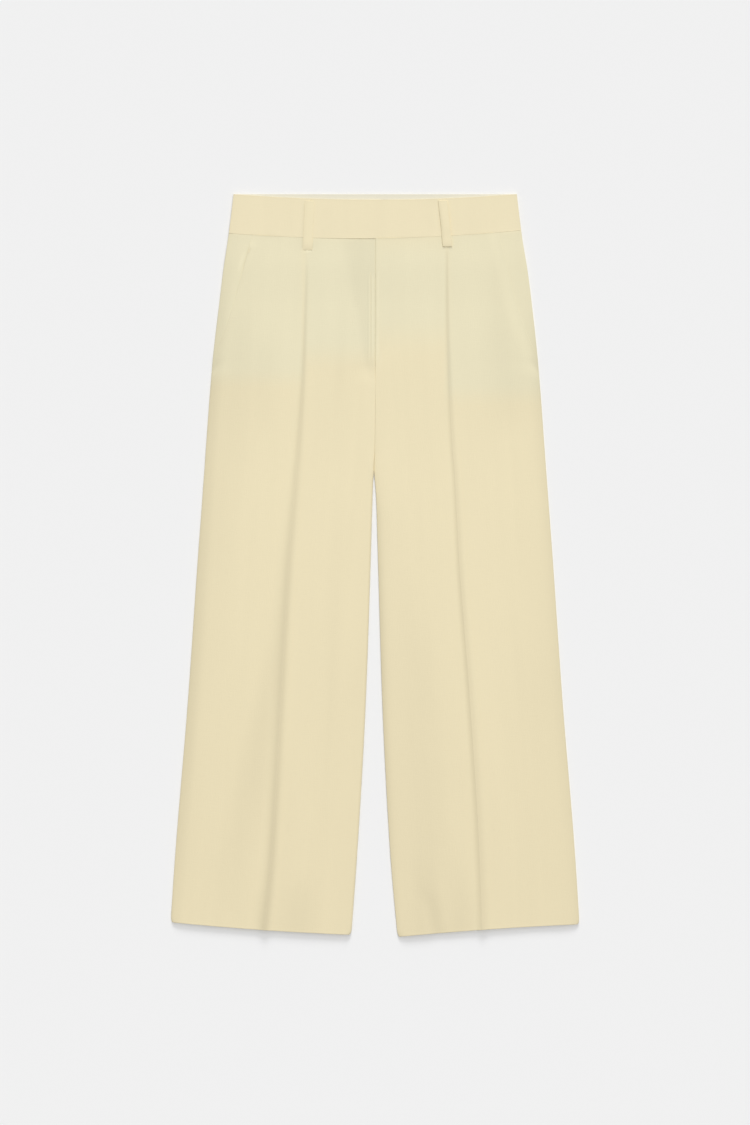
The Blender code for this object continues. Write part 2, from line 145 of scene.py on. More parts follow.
print("side seam at the hem, hip and waist:",
      [round(float(side_x(RIGHT, y)), 1) for y in (-455.0, 200.0, 410.0)], "mm")

# %% Heights and walls, from the table down
HALF_LENGTH = 464.4
FRONT_DIP = 7.0            # the front's upper edge is this much lower at the middle
HEM_SLANT, HEM_MIDDLE, HEM_HALF_WIDTH, HEM_BEND_FROM = 7.9, 142.0, 114.0, -300.0
HEM_LIFT_LEFT, HEM_LIFT_RIGHT, HEM_BOW_LEFT, HEM_BOW_RIGHT = -0.6, 0.1, 1.7, -1.6
HEM_CORNER, HEM_CORNER_REACH = 2.2, 2.5    # the hems' corners are drawn in, over this height
HEM_ROW = -455.0
WAIST_ROW = 410.0
SEAM_MIDDLE, SEAM_RISE, SEAM_TILT = 409.0, 8.2, 1.9
WAIST_BEND_FROM, WAIST_HALF_WIDTH = 325.0, 183.8
BACK_WALL, PANEL_WALL, BAND_WALL, LOOP_WALL, LAYER_GAP = 1.0, 1.0, 1.1, 0.8, 0.3
SEAM_GAP = 0.04            # two panels that are sewn together touch closer than loose layers
WAIST_STAND = LOOP_WALL + LAYER_GAP
STAND_FROM, STAND_FULL = 325.0, 385.0
ON_BACK_BAND = WAIST_STAND + BAND_WALL + LAYER_GAP
TAB_GAP = 0.05


def seam_y(x):
    """The curved seam between the legs and the waistband."""
    across = x / WAIST_HALF_WIDTH
    return SEAM_MIDDLE + SEAM_RISE * across * across + SEAM_TILT * across


def front_top_y(x):
    """The front waistband's upper edge dips at the middle."""
    return HALF_LENGTH - FRONT_DIP * (1.0 - (x / WAIST_HALF_WIDTH) ** 2)


def bent_y(row_y, x):
    """Rows of a leg lean into the hem's slant and into the waist's curve."""
    hem = smooth((HEM_BEND_FROM - row_y) / (HEM_BEND_FROM - HEM_ROW))
    across = (np.abs(x) - HEM_MIDDLE) / HEM_HALF_WIDTH
    lift = np.where(x < 0.0, HEM_LIFT_LEFT, HEM_LIFT_RIGHT)
    bow = np.where(x < 0.0, HEM_BOW_LEFT, HEM_BOW_RIGHT)
    waist = rising(row_y, WAIST_BEND_FROM, WAIST_ROW - WAIST_BEND_FROM)
    return (row_y + hem * (lift + HEM_SLANT * across + bow * across * across)
            + waist * (seam_y(x) - SEAM_GAP / 2 - WAIST_ROW))


def hem_corner(row_y):
    return HEM_CORNER * fade(row_y - HEM_ROW, HEM_CORNER_REACH)


def stand(y):
    """The waist stands on the back belt loops; below the hips the back lies on the table."""
    return WAIST_STAND * rising(y, STAND_FROM, STAND_FULL - STAND_FROM)


def on_back(y):
    return stand(y) + BACK_WALL + LAYER_GAP


def inner_x(leg, y):
    """The inner leg, and above the crotch the middle seam."""
    half_gap = np.maximum(along(SECTIONS, "gap", y), SEAM_GAP / 2)
    return along(SECTIONS, "centre", y) + leg * half_gap


def crease_x(leg, y):
    return leg * along(SECTIONS, "crease_left" if leg == LEFT else "crease_right", y)


def bent_side(leg, row_y):
    """Distance from the middle at which a leaning row meets the side seam."""
    return side_x(leg, bent_y(row_y, leg * side_x(leg, row_y)))


def bent_inner(leg, row_y):
    """X at which a leaning row meets the inner leg."""
    return inner_x(leg, bent_y(row_y, inner_x(leg, row_y)))


print("the front lies", float(on_back(0.0)), "mm up on the legs and", float(on_back(400.0)),
      "mm up at the waist")

# %% [markdown]
# ## A shell of cloth
#
# Cloth could be a plane with a Solidify modifier, but then its rim is a square cut. On
# sewn clothes nearly every edge is a fold, so it is round. Here a piece starts as a grid of
# points on the middle of the cloth. The same grid is lifted by half the thickness for the
# upper face and lowered for the lower face, and towards the rim the thickness follows a
# quarter circle down to nothing, where both faces share their points. That gives one closed
# mesh with folded-looking edges, and the rows and columns can crowd where detail is fine.
#
# Three numbers travel with every point and reach the material as attributes: `tone`, how
# much paler or deeper the cloth looks there, which holds painted light and shade as well as the
# cloth's own tone, `backed`, where pocket bags or facings lie behind it, and `pressed`, where
# the iron has flattened its surface.

# %% Build one shell
def add_piece(name, points, faces, finishes):
    """A new object in the scene with one mesh, from points in metres."""
    mesh = bpy.data.meshes.new(name)
    mesh.from_pydata(points, [], faces)
    for finish in finishes:
        mesh.materials.append(finish)
    mesh.shade_smooth()
    piece = bpy.data.objects.new(name, mesh)
    bpy.context.scene.collection.objects.link(piece)
    return piece


EDGE_STEPS = (0.0, 0.04, 0.14, 0.3, 0.5, 0.8, 1.3, 2.0, 3.0, 4.4, 6.2, 8.6, 12.0, 16.0)


def quarter_circle(distance, radius):
    """Share of the full thickness at a distance from the rim."""
    u = np.clip(distance / radius, 0.0, 1.0)
    return np.sqrt(1.0 - (1.0 - u) ** 2)


def shell(name, x, y, middle, wall, rim, cut, finishes, tone=0.0, backed=0.0, pressed=0.0,
          under_finish=0):
    """A closed thin mesh from grids of points. rim is each point's share of the wall, 0 to 1."""
    rows, columns = x.shape
    half = 0.5 * wall * rim
    index = np.arange(rows * columns).reshape(rows, columns)
    inside = np.zeros((rows, columns), bool)
    inside[1:-1, 1:-1] = True
    under = index.copy()
    under[inside] = rows * columns + np.arange(inside.sum())

    def both(upper, lower):
        return np.concatenate([np.broadcast_to(upper, x.shape).ravel(),
                               np.broadcast_to(lower, x.shape)[inside]])

    points = np.stack([both(x, x), both(y, y), both(middle + half, middle - half)], axis=1) * MM

    def quads(grid, facing_up):
        corners = [grid[:-1, :-1], grid[:-1, 1:], grid[1:, 1:], grid[1:, :-1]]
        faces = np.stack([corner.ravel() for corner in corners], axis=1)
        return faces if facing_up else faces[:, ::-1]

    up = bool((x[0, -1] - x[0, 0]) * (y[-1, 0] - y[0, 0]) > 0.0)
    upper, lower = quads(index, up), quads(under, not up)
    faces = np.concatenate([upper, lower])
    piece = add_piece(name, points.tolist(), faces.tolist(), finishes)
    mesh = piece.data
    if under_finish:
        slots = np.zeros(len(faces), np.int32)
        slots[len(upper):] = under_finish
        mesh.polygons.foreach_set("material_index", slots)
    for label, values in (("tone", tone), ("backed", backed), ("pressed", pressed)):
        layer = mesh.attributes.new(label, "FLOAT", "POINT")
        layer.data.foreach_set("value", both(values, values).astype(np.float32))
    corner_point = np.zeros(len(mesh.loops), np.int32)
    mesh.loops.foreach_get("vertex_index", corner_point)
    flat = np.stack([both(cut[0], cut[0]), both(cut[1], cut[1])], axis=1) * MM
    mesh.uv_layers.new(name="cut").data.foreach_set("uv", flat[corner_point].ravel())
    print(f"{name}: {len(faces) * 2} triangles")
    return piece


def steps_between(start, end, count):
    """Points from start to end without its ends; start and end may be one value per row."""
    return [mix(start, end, (i + 1) / (count + 1)) for i in range(count)]


def spread_rows(low, high, spacing, edges=EDGE_STEPS):
    """Heights from low to high: crowded at both ends, evenly spaced between."""
    low_end = [low + step for step in edges]
    high_end = [high - step for step in reversed(edges)]
    count = int((high_end[0] - low_end[-1]) / spacing)
    return np.array(low_end + steps_between(low_end[-1], high_end[0], count) + high_end)


# %% [markdown]
# ## What the cloth does
#
# Laid cloth has three kinds of form. Its edges roll down to the layer behind over a few
# millimetres. The pressed crease stands up as a thin ridge that sinks away on both sides, tall
# at the hem, where the leg is wide and free, and low under the waistband. Between them lie a few
# long, shallow hollows where the front touches the back. A displacement texture would put
# the same hollow everywhere, so each one is placed as a line with a reach and a depth.
#
# The crease and the hollows also carry painted shade, a deeper colour where shade falls in
# them, and a few soft rises carry painted light. Thin, light cloth also turns cooler over white
# pocket bags. The tables below say where.

# %% Tables of creases, hollows and layers behind the cloth
# A row for each height: how high the pressed ridge stands, how far its foot reaches to the
# viewer's left and right, and how much painted shade darkens the cloth along it, as a share of
# the colour.
Press = namedtuple("Press", "y rise left right deep")
LEFT_PRESS = table(
    Press,
    (-465, 2.8, 11, 10.5, 0.125),
    (-355, 2.8, 10.5, 10, 0.125),
    (-240, 2.7, 11, 9.5, 0.11),
    (-120, 2.5, 13, 9, 0.11),
    (5, 2.2, 11, 9, 0.11),
    (70, 2.1, 10.5, 9, 0.108),
    (115, 2, 8.5, 9, 0.1),
    (190, 1.6, 6, 7, 0.11),
    (255, 1, 4.6, 5.2, 0.125),
    (330, 0.7, 3.6, 3.8, 0.105),
    (366, 0.5, 3, 3.2, 0.075),
    (384, 0.4, 2.4, 2.8, 0.015),
    (396, 0.3, 2.4, 2.8, 0),
    (465, 0.2, 2.4, 2.8, 0),
)
RIGHT_PRESS = table(
    Press,
    (-465, 2.2, 8, 12.5, 0.075),
    (-355, 2.3, 7.5, 12, 0.08),
    (-240, 2.2, 6.5, 11, 0.08),
    (-120, 2, 6, 9.5, 0.085),
    (5, 1.8, 5.5, 8, 0.09),
    (115, 1.6, 5, 7.5, 0.09),
    (190, 1.3, 4.6, 6, 0.095),
    (255, 1, 4.2, 5, 0.125),
    (330, 0.8, 3.2, 3.6, 0.125),
    (385, 0.5, 2.4, 2.6, 0.1),
    (400, 0.3, 2.4, 2.6, 0),
    (465, 0.2, 2.4, 2.6, 0),
)

# A hollow runs up the cloth. Each row gives its middle, its reach to both sides, its depth,
# and how much painted shade darkens the cloth in it. Minus signs make a soft rise with painted
# light.
Hollow = namedtuple("Hollow", "y x reach depth deep")
FRONT_HOLLOWS = [table(Hollow, *run) for run in (
    # beside the left crease at the knee, drifting outwards to the hem
    ((-470, -186, 32, 0, 0.01), (-400, -180, 36, 0.4, 0.026), (-310, -162, 34, 0.6, 0.042),
     (-215, -144, 28, 0.7, 0.05), (-130, -129, 20, 0.6, 0.04), (-40, -119, 16, 0.3, 0.02),
     (60, -109, 14, 0, 0)),
    # inner half of the right leg
    ((-470, 66, 52, -0.3, 0.06), (-425, 64, 48, 0.2, 0.05), (-380, 66, 48, 0.5, 0.044),
     (-250, 58, 46, 0.6, 0.03), (-120, 52, 38, 0.4, 0.024), (0, 34, 28, 0, 0)),
    # where the right hem buckles
    ((-470, 82, 15, 0.5, 0.056), (-430, 73, 16, 0.6, 0.052), (-400, 62, 22, 0.2, 0.02),
     (-372, 60, 22, 0, 0)),
    ((-470, 110, 32, 0.2, 0.06), (-425, 108, 28, 0.1, 0.044), (-370, 106, 20, 0, 0.014),
     (-340, 104, 16, 0, 0)),
    # under the right pocket
    ((150, 166, 34, 0, 0), (205, 168, 42, 0.4, 0.036), (262, 160, 38, 0.5, 0.044),
     (320, 152, 22, 0.3, 0.028), (385, 146, 14, 0, 0)),
    # between the left pocket and its crease
    ((150, -140, 14, 0, 0), (195, -138, 18, 0.2, 0.026), (250, -137, 18, 0.2, 0.026),
     (300, -136, 14, 0, 0)),
    # under the left pocket and down the outer thigh
    ((-140, -206, 26, 0, 0), (0, -196, 32, 0.2, 0.02), (130, -180, 38, 0.3, 0.03),
     (225, -172, 38, 0.4, 0.044), (290, -170, 30, 0.2, 0.034), (345, -166, 20, 0, 0)),
    # left of the fly
    ((150, -44, 10, 0, 0), (205, -46, 13, 0.1, 0.008), (245, -43, 12, 0.2, 0.018),
     (310, -41, 10, 0.1, 0.008), (335, -40, 8, 0, 0)),
    # inner half of the left leg
    ((-400, -66, 20, 0, 0), (-250, -58, 22, 0.2, 0.014), (-130, -56, 22, 0.3, 0.016),
     (20, -44, 20, 0.2, 0.01), (90, -36, 16, 0, 0)),
    # across the inner half of the left leg at its hem
    ((-470, -98, 42, -0.3, 0.06), (-430, -96, 40, 0, 0.044), (-380, -90, 30, 0, 0)),
    # beside the left crease at its hem
    ((-470, -144, 13, 0.2, 0.044), (-435, -144, 12, 0.1, 0.036), (-400, -141, 12, 0, 0.012),
     (-370, -139, 12, 0, 0)),
    # outer half of the right leg, towards the hem
    ((-470, 200, 44, 0.2, 0.01), (-300, 196, 44, 0.4, 0.012), (-120, 192, 36, 0.3, 0.012),
     (60, 184, 28, 0.1, 0.008), (150, 178, 24, 0, 0)),
    # a soft rise on the outer half of the right leg, beside the crease
    ((-340, 150, 22, 0, 0), (-240, 144, 24, -0.3, -0.01), (-60, 134, 28, -0.2, -0.008),
     (60, 126, 20, 0, 0)),
)]
BACK_HOLLOWS = [table(Hollow, *run) for run in (
    ((-470, -140, 26, 0.3, 0.012), (-280, -134, 24, 0.7, 0.03), (-60, -112, 18, 0.5, 0.02),
     (60, -104, 14, 0, 0)),
    ((-440, -206, 26, 0.4, 0.02), (-250, -192, 22, 0.5, 0.024), (-90, -180, 18, 0, 0)),
    ((-400, 74, 28, 0.2, 0.012), (-220, 66, 26, 0.6, 0.028), (30, 58, 18, 0, 0)),
    ((-240, 190, 18, 0, 0), (-80, 180, 24, 0.5, 0.024), (110, 166, 20, 0, 0)),
    ((150, -92, 26, 0, 0), (205, -76, 24, 0.4, 0.02), (270, -58, 18, 0, 0)),
    ((140, 100, 24, 0, 0), (200, 82, 22, 0.4, 0.018), (262, 64, 16, 0, 0)),
)]

# White pocket bags and fly facings behind the front: an upright patch with soft borders.
Patch = namedtuple("Patch", "x_from x_to y_from y_to soft_across soft_up strength")
LAYERS_BEHIND = table(
    Patch,
    (-215, -84, 216, 440, 12, 34, 1),
    (84, 215, 196, 440, 12, 34, 1),
    (-96, 12, 240, 440, 14, 44, 1.15),
    (-10, 98, 256, 440, 14, 60, 1.05),
)


def hollows(runs, x, y):
    """Summed depth, and the painted shade, of all hollows at each point."""
    depth, deep = np.zeros_like(x), np.zeros_like(x)
    for run in runs:
        away = np.abs(x - along(run, "x", y)) / along(run, "reach", y)
        part = (1.0 - smooth(away)) * (y >= run[0].y) * (y <= run[-1].y)
        depth += along(run, "depth", y) * part
        deep += along(run, "deep", y) * part
    return depth, deep


def behind(x, y):
    """1 where a pocket bag or facing lies behind the cloth, 0 elsewhere, softly between."""
    cover = np.zeros_like(x)
    for patch in LAYERS_BEHIND:
        across = (rising(x, patch.x_from, patch.soft_across)
                  * rising(-x, -patch.x_to, patch.soft_across))
        up = rising(y, patch.y_from, patch.soft_up) * rising(-y, -patch.y_to, patch.soft_up)
        cover = np.maximum(cover, patch.strength * across * up)
    return cover


CREASE_TIP, CREASE_POWER = 0.3, 1.5      # the ridge's radius, and how steeply it falls away
DEEP_ASIDE, DEEP_SHARE = 0.8, 0.52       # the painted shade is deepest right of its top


def crease_form(leg, y, away):
    """Height of the pressed ridge and its painted shade; away is the distance to its right."""
    press = LEFT_PRESS if leg == LEFT else RIGHT_PRESS
    reach = np.where(away < 0.0, along(press, "left", y), along(press, "right", y))
    near = np.clip(1.0 - (np.hypot(away, CREASE_TIP) - CREASE_TIP) / reach, 0.0, 1.0)
    ridge = along(press, "rise", y) * near ** CREASE_POWER
    return ridge, along(press, "deep", y) * bell(away - DEEP_ASIDE, DEEP_SHARE * reach)


print(len(FRONT_HOLLOWS), "hollows in front,", len(BACK_HOLLOWS), "behind")

# %% [markdown]
# ## The cloth's surface
#
# The cloth is a polyester and viscose suiting crepe, woven from high-twist yarn and piece-dyed.
# High twist breaks the light up: there is no gloss, only a faint bloom at glancing angles,
# so the shader is rough, with a little sheen and a fibre's refractive index of about 1.5.
# The yarns lie 0.35 mm apart, which is finer than a pixel, so they are drawn at 0.8 mm.
# An image of cloth could be tiled over it; noise stretched along the two thread
# directions does the same job and never repeats. The colour is multiplied by
# the shell's `tone`, with its painted light and shade, turned cooler by `backed`, and `pressed`
# places lose some of the bump.

# %% Colours, a node and a new finish
def linear(hex_colour):
    """An sRGB colour as the linear numbers a shader works in."""
    parts = [int(hex_colour[i:i + 2], 16) / 255.0 for i in (0, 2, 4)]
    return [((c + 0.055) / 1.055) ** 2.4 if c > 0.04045 else c / 12.92 for c in parts]


def node(material, kind, links=(), **settings):
    """Add a node. settings are its properties or sockets, links its inputs' sources."""
    made = material.node_tree.nodes.new(kind)
    for key, value in settings.items():
        if key.startswith("in_"):
            label = key[3:]
            socket = int(label) if label.isdigit() else label.replace("_", " ")
            made.inputs[socket].default_value = value
        else:
            setattr(made, key, value)
    for socket, source in dict(links).items():
        material.node_tree.links.new(source, made.inputs[socket])
    return made


def finish_named(name, **sockets):
    """A new material and its shader. Each socket's value stays on the socket itself."""
    made = bpy.data.materials.new(name)
    made.use_nodes = True
    shader = made.node_tree.nodes["Principled BSDF"]
    for label, value in sockets.items():
        shader.inputs[label.replace("_", " ")].default_value = value
    return made, shader


def shade_and_bump(material, shader, colour, bump):
    """Let one node give the colour and another the bump of the surface."""
    material.node_tree.links.new(colour.outputs[0], shader.inputs["Base Color"])
    material.node_tree.links.new(bump.outputs[0], shader.inputs["Normal"])


print("butter yellow, linear:", [round(c, 3) for c in linear("efe3bf")])

# %% The woven suiting
THREAD = 0.8 * MM          # real yarns lie 0.35 mm apart; drawn coarser, so that they show
SLUB = 14.0 * MM           # length of a thick place in a yarn
CLOUD = (70.0 * MM, 110.0 * MM)    # size of the broad patches that dye and steam leave
DRAPE = (13.0 * MM, 260.0 * MM)    # size of the faint long streaks in which cloth hangs
THREAD_SHADE, GRAIN_SHADE, CLOUD_SHADE, DRAPE_SHADE = 0.026, 0.018, 0.02, 0.02
BUMP_HEIGHT, FLATTENED = 0.12 * MM, 0.6    # the iron takes away this share of the bump
COOLER = (0.972, 1.008, 1.045)     # what a white layer behind does to red, green and blue
UNEVEN = 0.55              # how much of the finer noise each pattern holds
FIBRE_IOR, FIBRE_SPECULAR = 1.5, 0.3
BLOOM_ROUGHNESS, BLOOM_COLOUR = 0.5, "fff3d2"


def woven(name, hex_colour, roughness=0.86, sheen=0.12, relief=0.5, thread=THREAD):
    """A matte woven cloth that answers to a shell's tone, backed and pressed numbers."""
    made, shader = finish_named(
        name, Roughness=roughness, IOR=FIBRE_IOR, Specular_IOR_Level=FIBRE_SPECULAR,
        Sheen_Weight=sheen, Sheen_Roughness=BLOOM_ROUGHNESS,
        Sheen_Tint=linear(BLOOM_COLOUR) + [1.0])
    cut = node(made, "ShaderNodeUVMap", uv_map="cut").outputs["UV"]
    tone, backed, pressed = [
        node(made, "ShaderNodeAttribute", attribute_name=label).outputs["Fac"]
        for label in ("tone", "backed", "pressed")]
    drawn = []
    for across, length, detail in ((thread, SLUB, 2.0), (SLUB, thread, 2.0),
                                   (thread, thread, 3.0), (*CLOUD, 2.0), (*DRAPE, 1.0)):
        placed = node(made, "ShaderNodeVectorMath", {0: cut}, operation="MULTIPLY",
                      in_1=(1.0 / across, 1.0 / length, 1.0)).outputs[0]
        drawn.append(node(made, "ShaderNodeTexNoise", {"Vector": placed}, in_Scale=1.0,
                          noise_dimensions="2D", in_Detail=detail,
                          in_Roughness=UNEVEN).outputs["Fac"])
    warp, weft, grain, cloud, drape = drawn
    threads = node(made, "ShaderNodeMath", {0: warp, 1: weft}, operation="ADD").outputs[0]

    # Noise lies around 0.5, so each share of it is moved to lie around 0.
    shade = tone
    for source, strength in ((threads, THREAD_SHADE), (grain, GRAIN_SHADE),
                             (cloud, CLOUD_SHADE), (drape, DRAPE_SHADE)):
        part = node(made, "ShaderNodeMath", {0: source}, operation="MULTIPLY_ADD",
                    in_1=strength, in_2=-0.5 * strength).outputs[0]
        shade = node(made, "ShaderNodeMath", {0: shade, 1: part}, operation="ADD").outputs[0]
    bright = node(made, "ShaderNodeMath", {0: shade}, operation="ADD", in_1=1.0).outputs[0]
    cooler = node(made, "ShaderNodeMix", {0: backed}, data_type="RGBA",
                  in_6=linear(hex_colour) + [1.0],
                  in_7=[a * b for a, b in zip(linear(hex_colour), COOLER)] + [1.0],
                  clamp_factor=False).outputs[2]
    colour = node(made, "ShaderNodeVectorMath", {0: cooler, "Scale": bright}, operation="SCALE")
    height = node(made, "ShaderNodeMath", {0: threads, 1: grain}, operation="ADD").outputs[0]
    rough = node(made, "ShaderNodeMath", {0: pressed}, operation="MULTIPLY_ADD",
                 in_1=-FLATTENED * relief, in_2=relief).outputs[0]
    bump = node(made, "ShaderNodeBump", {"Height": height, "Strength": rough},
                in_Distance=BUMP_HEIGHT)
    shade_and_bump(made, shader, colour, bump)
    print("material", name)
    return made


SUITING = woven("butter_suiting_crepe", "efe3bf")
BAND_SUITING = woven("fused_waistband_suiting", "efe3c0", relief=0.35)
FACING = woven("waistband_facing_twill", "e8e3cf", roughness=0.8, relief=0.35)

# %% [markdown]
# ## Front legs
#
# A front leg is one panel from the waist seam to the hem. Its outer edge follows the side
# seam up to the hip, then the slant pocket edge. Its inner edge follows the inner leg up to
# the crotch, then the middle seam, and from the foot of the fly the right panel laps over
# the left one. The grid's columns keep their distance to those edges and to the crease,
# so the lines stay sharp with few points. The hem is a turned-up fold: its last millimetres
# stand a trace higher, because three layers are pressed there.

# %% Where a front panel begins and ends
POCKET_TOP_X, POCKET_SLOPE, POCKET_FOOT_Y, POCKET_BEND = 153.4, 0.285, 262.0, 6
POCKET_UNDERLAP, POCKET_EASE, OVER_ONE_LAYER, EDGE_MARGIN = 10.0, 27.0, 1.05, 2.0
CROTCH_Y, RISE_EASE, RISE_LEVEL, RISE_REACH = 120.0, 55.0, 1.1, 11.0
INSEAM_REACH = {LEFT: 1.6, RIGHT: 4.5}     # the left inner leg lies flat almost to its edge
FLY_FOOT_Y, FLY_EASE, FLY_UNDERLAP, UNDERLAP_EASE = 250.0, 26.0, 6.0, 25.0
LAP_FROM_Y, LAP_EASE = 240.0, 60.0
ZIP_FROM_X, ZIP_TO_X = 6.6, 20.0

FrontEdges = namedtuple("FrontEdges", "y outer inner outer_level outer_flat inner_level "
                                      "inner_flat inner_reach")


def pocket_edge_x(leg, y):
    """Distance to the slant pocket edge, which bends into the side seam at its foot."""
    drop, depth = WAIST_ROW - y, WAIST_ROW - POCKET_FOOT_Y
    bend = float(side_x(leg, POCKET_FOOT_Y)) - POCKET_TOP_X - POCKET_SLOPE * depth
    share = np.clip(drop / depth, 0.0, 1.0)
    return POCKET_TOP_X + POCKET_SLOPE * drop + bend * share ** POCKET_BEND


def pocket_part(y):
    """1 along the pocket, easing to 0 below its foot."""
    return rising(y, POCKET_FOOT_Y - POCKET_EASE, POCKET_EASE)


def fly_part(y):
    """1 along the fly, easing to 0 below its foot."""
    return rising(y, FLY_FOOT_Y - FLY_EASE, FLY_EASE)


def front_edges(leg, y):
    """Edges of a front panel at rows y, the level it keeps there and how it rolls away."""
    outer = np.where(y >= POCKET_FOOT_Y, pocket_edge_x(leg, y), bent_side(leg, y))
    outer = outer - hem_corner(y)
    in_pocket, in_rise = pocket_part(y), rising(y, CROTCH_Y, RISE_EASE)
    inner = bent_inner(leg, y) + leg * hem_corner(y)
    level = RISE_LEVEL * in_rise
    reach = mix(INSEAM_REACH[leg], RISE_REACH, in_rise)
    if leg == LEFT:
        flat = FLY_UNDERLAP * rising(y, FLY_FOOT_Y, UNDERLAP_EASE)
        inner = inner + flat
        level = mix(level, 0.0, fly_part(y))
    else:
        flat = (ZIP_TO_X + EDGE_MARGIN) * rising(y, LAP_FROM_Y, LAP_EASE)
        level = mix(level, OVER_ONE_LAYER, fly_part(y))
    return FrontEdges(y, leg * outer, inner, OVER_ONE_LAYER * in_pocket,
                      (POCKET_UNDERLAP + EDGE_MARGIN) * in_pocket, level, flat, reach)


def in_columns(edges):
    """The same edges with every row's value in a column, to meet a grid of points."""
    return FrontEdges(*[part[:, None] if np.ndim(part) else part for part in edges])


print("pocket edge from", round(float(pocket_edge_x(LEFT, WAIST_ROW)), 1), "to",
      round(float(pocket_edge_x(LEFT, POCKET_FOOT_Y)), 1), "mm from the middle")

# %% The form of a front panel
# Beside the lap the left front lies low: a wedge, wide at the waist and narrow at the fly's foot.
Wedge = namedtuple("Wedge", "y width")
WEDGE = table(
    Wedge,
    (215, 8), (242, 13), (267, 18), (292, 21.8), (317, 26.6), (337, 33), (352, 36.5), (375, 41),
    (410, 48))
# The low wedge is darkened by painted shade, the first number below.
WEDGE_DEEP, WEDGE_FLAT, WEDGE_SLACK = 0.040, 7.0, 28.0
WEDGE_EDGE, WEDGE_SOFT = 0.66, 0.38      # where its shade ends, as shares of its width

# Soft painted shade on the left front, at the fly's foot and beside the seam below it.
Shade = namedtuple("Shade", "x y wide high deep")
FLY_SHADES = table(Shade, (-20, 242, 20, 13, 0.045), (-8, 137, 8, 22, 0.018))

# A side seam rolls down quickly for this share and slowly for the rest; a pocket edge slowly.
QUICK_SHARE, QUICK_ROLL, SLOW_ROLL, POCKET_ROLL = 0.4, 1.8, 8.0, 15.0
HOLLOW_MARGIN = 12.0       # hollows fade out this close to an edge


def front_form(leg, edges, x, y):
    """Height over what carries the panel, and the painted shade and light of its crease, hollows
    and fly.
    """
    row_y = edges.y
    body = along(SECTIONS, "body", row_y)
    from_outer = np.maximum(np.abs(x - edges.outer) - edges.outer_flat, 0.0)
    from_inner = np.maximum(np.abs(x - edges.inner) - edges.inner_flat, 0.0)
    rise, deep = crease_form(leg, row_y, x - crease_x(leg, row_y))
    depth, hollow_deep = hollows(FRONT_HOLLOWS, x, y)
    inner_drop = fade(from_inner, edges.inner_reach)
    tone = -deep - hollow_deep
    if leg == LEFT:
        width = along(WEDGE, "width", row_y)
        low = 1.0 - rising(from_inner / width, WEDGE_EDGE, WEDGE_SOFT)
        slack = 1.0 - rising(from_inner, WEDGE_FLAT, width + WEDGE_SLACK)
        inner_drop = mix(inner_drop, slack, fly_part(row_y))
        tone = tone - WEDGE_DEEP * low * fly_part(row_y)
        for shade in FLY_SHADES:
            tone = tone - (shade.deep * bell(x - shade.x, shade.wide)
                           * bell(row_y - shade.y, shade.high))
    side_drop = mix(fade(from_outer, SLOW_ROLL), fade(from_outer, QUICK_ROLL), QUICK_SHARE)
    outer_drop = mix(side_drop, fade(from_outer, POCKET_ROLL), pocket_part(row_y))
    inward = smooth(from_outer / HOLLOW_MARGIN) * smooth(from_inner / HOLLOW_MARGIN)
    lift = (body - (body - edges.outer_level) * outer_drop
            - (body - edges.inner_level) * inner_drop + rise - depth * inward)
    return np.maximum(lift, 0.0), tone


print("beside the lap the left front lies low over", WEDGE[0].width, "mm at the fly's foot and",
      WEDGE[-1].width, "mm at the waist")


# %% Small forms at a front panel's edges
# Fine ridges and grooves beside the fly, where the zip is stitched in; their tone paints light on
# the ridges and shade in the grooves.
FlyLine = namedtuple("FlyLine", "x half_width height tone")
FLY_LINES = {
    LEFT: table(
        FlyLine,
        (-9.2, 0.8, -0.05, -0.03), (-7.3, 1.2, 0.22, 0.045), (-5.3, 0.7, -0.1, -0.04),
        (-3.3, 1.4, 0.25, 0.058)),
    RIGHT: table(
        FlyLine,
        (3.3, 1.3, 0.2, 0.03)),
}
ZIP_SPAN = (252.0, 10.0, 358.0, 8.0)     # from, its ease, to, its ease

# Lines beside the inner leg, the middle seam and the lap, over a span of rows; a minus tone is
# painted shade, a plus tone painted light.
InnerLine = namedtuple("InnerLine", "y_from ease_in y_to ease_out reach height tone")
AT_CROTCH = InnerLine(110, 8, 132, 12, 1.3, 0, -0.02)
INNER_LINES = {
    LEFT: (AT_CROTCH,) + table(
        InnerLine, (-600, 1, 100, 40, 1.6, 0, -0.05), (-600, 1, 100, 40, 9, 0, -0.012)),
    RIGHT: (AT_CROTCH,) + table(
        InnerLine, (244, 10, 275, 30, 2.2, 0.2, 0.025), (266, 24, 600, 1, 0.9, 0, -0.03),
        (200, 8, 244, 10, 2.5, 0, 0.022)),
}

# How much deeper the cloth looks at an edge, as a share: partly where the turnings of the seam
# lie behind it, and partly painted shade where the edge rolls away. It keeps that shade over the
# width of the turnings, then fades.
EdgeShade = namedtuple("EdgeShade", "y deep")
SIDE_SHADE = {
    LEFT: table(
        EdgeShade,
        (-465, 0.046), (-420, 0.06), (-330, 0.084), (-220, 0.11), (-60, 0.125), (150, 0.106),
        (240, 0.122), (310, 0.108), (350, 0.066), (410, 0.024)),
    RIGHT: table(
        EdgeShade,
        (-465, 0.105), (-60, 0.115), (150, 0.12), (250, 0.15), (310, 0.07), (350, 0.024),
        (410, 0.01)),
}
SHADED_TURNING, SHADED_TURNING_SOFT, SHADED_TURNING_SHARE, LEFT_FADE, RIGHT_FADE = 5.0, 14.0, 0.62, 22.0, 8.5
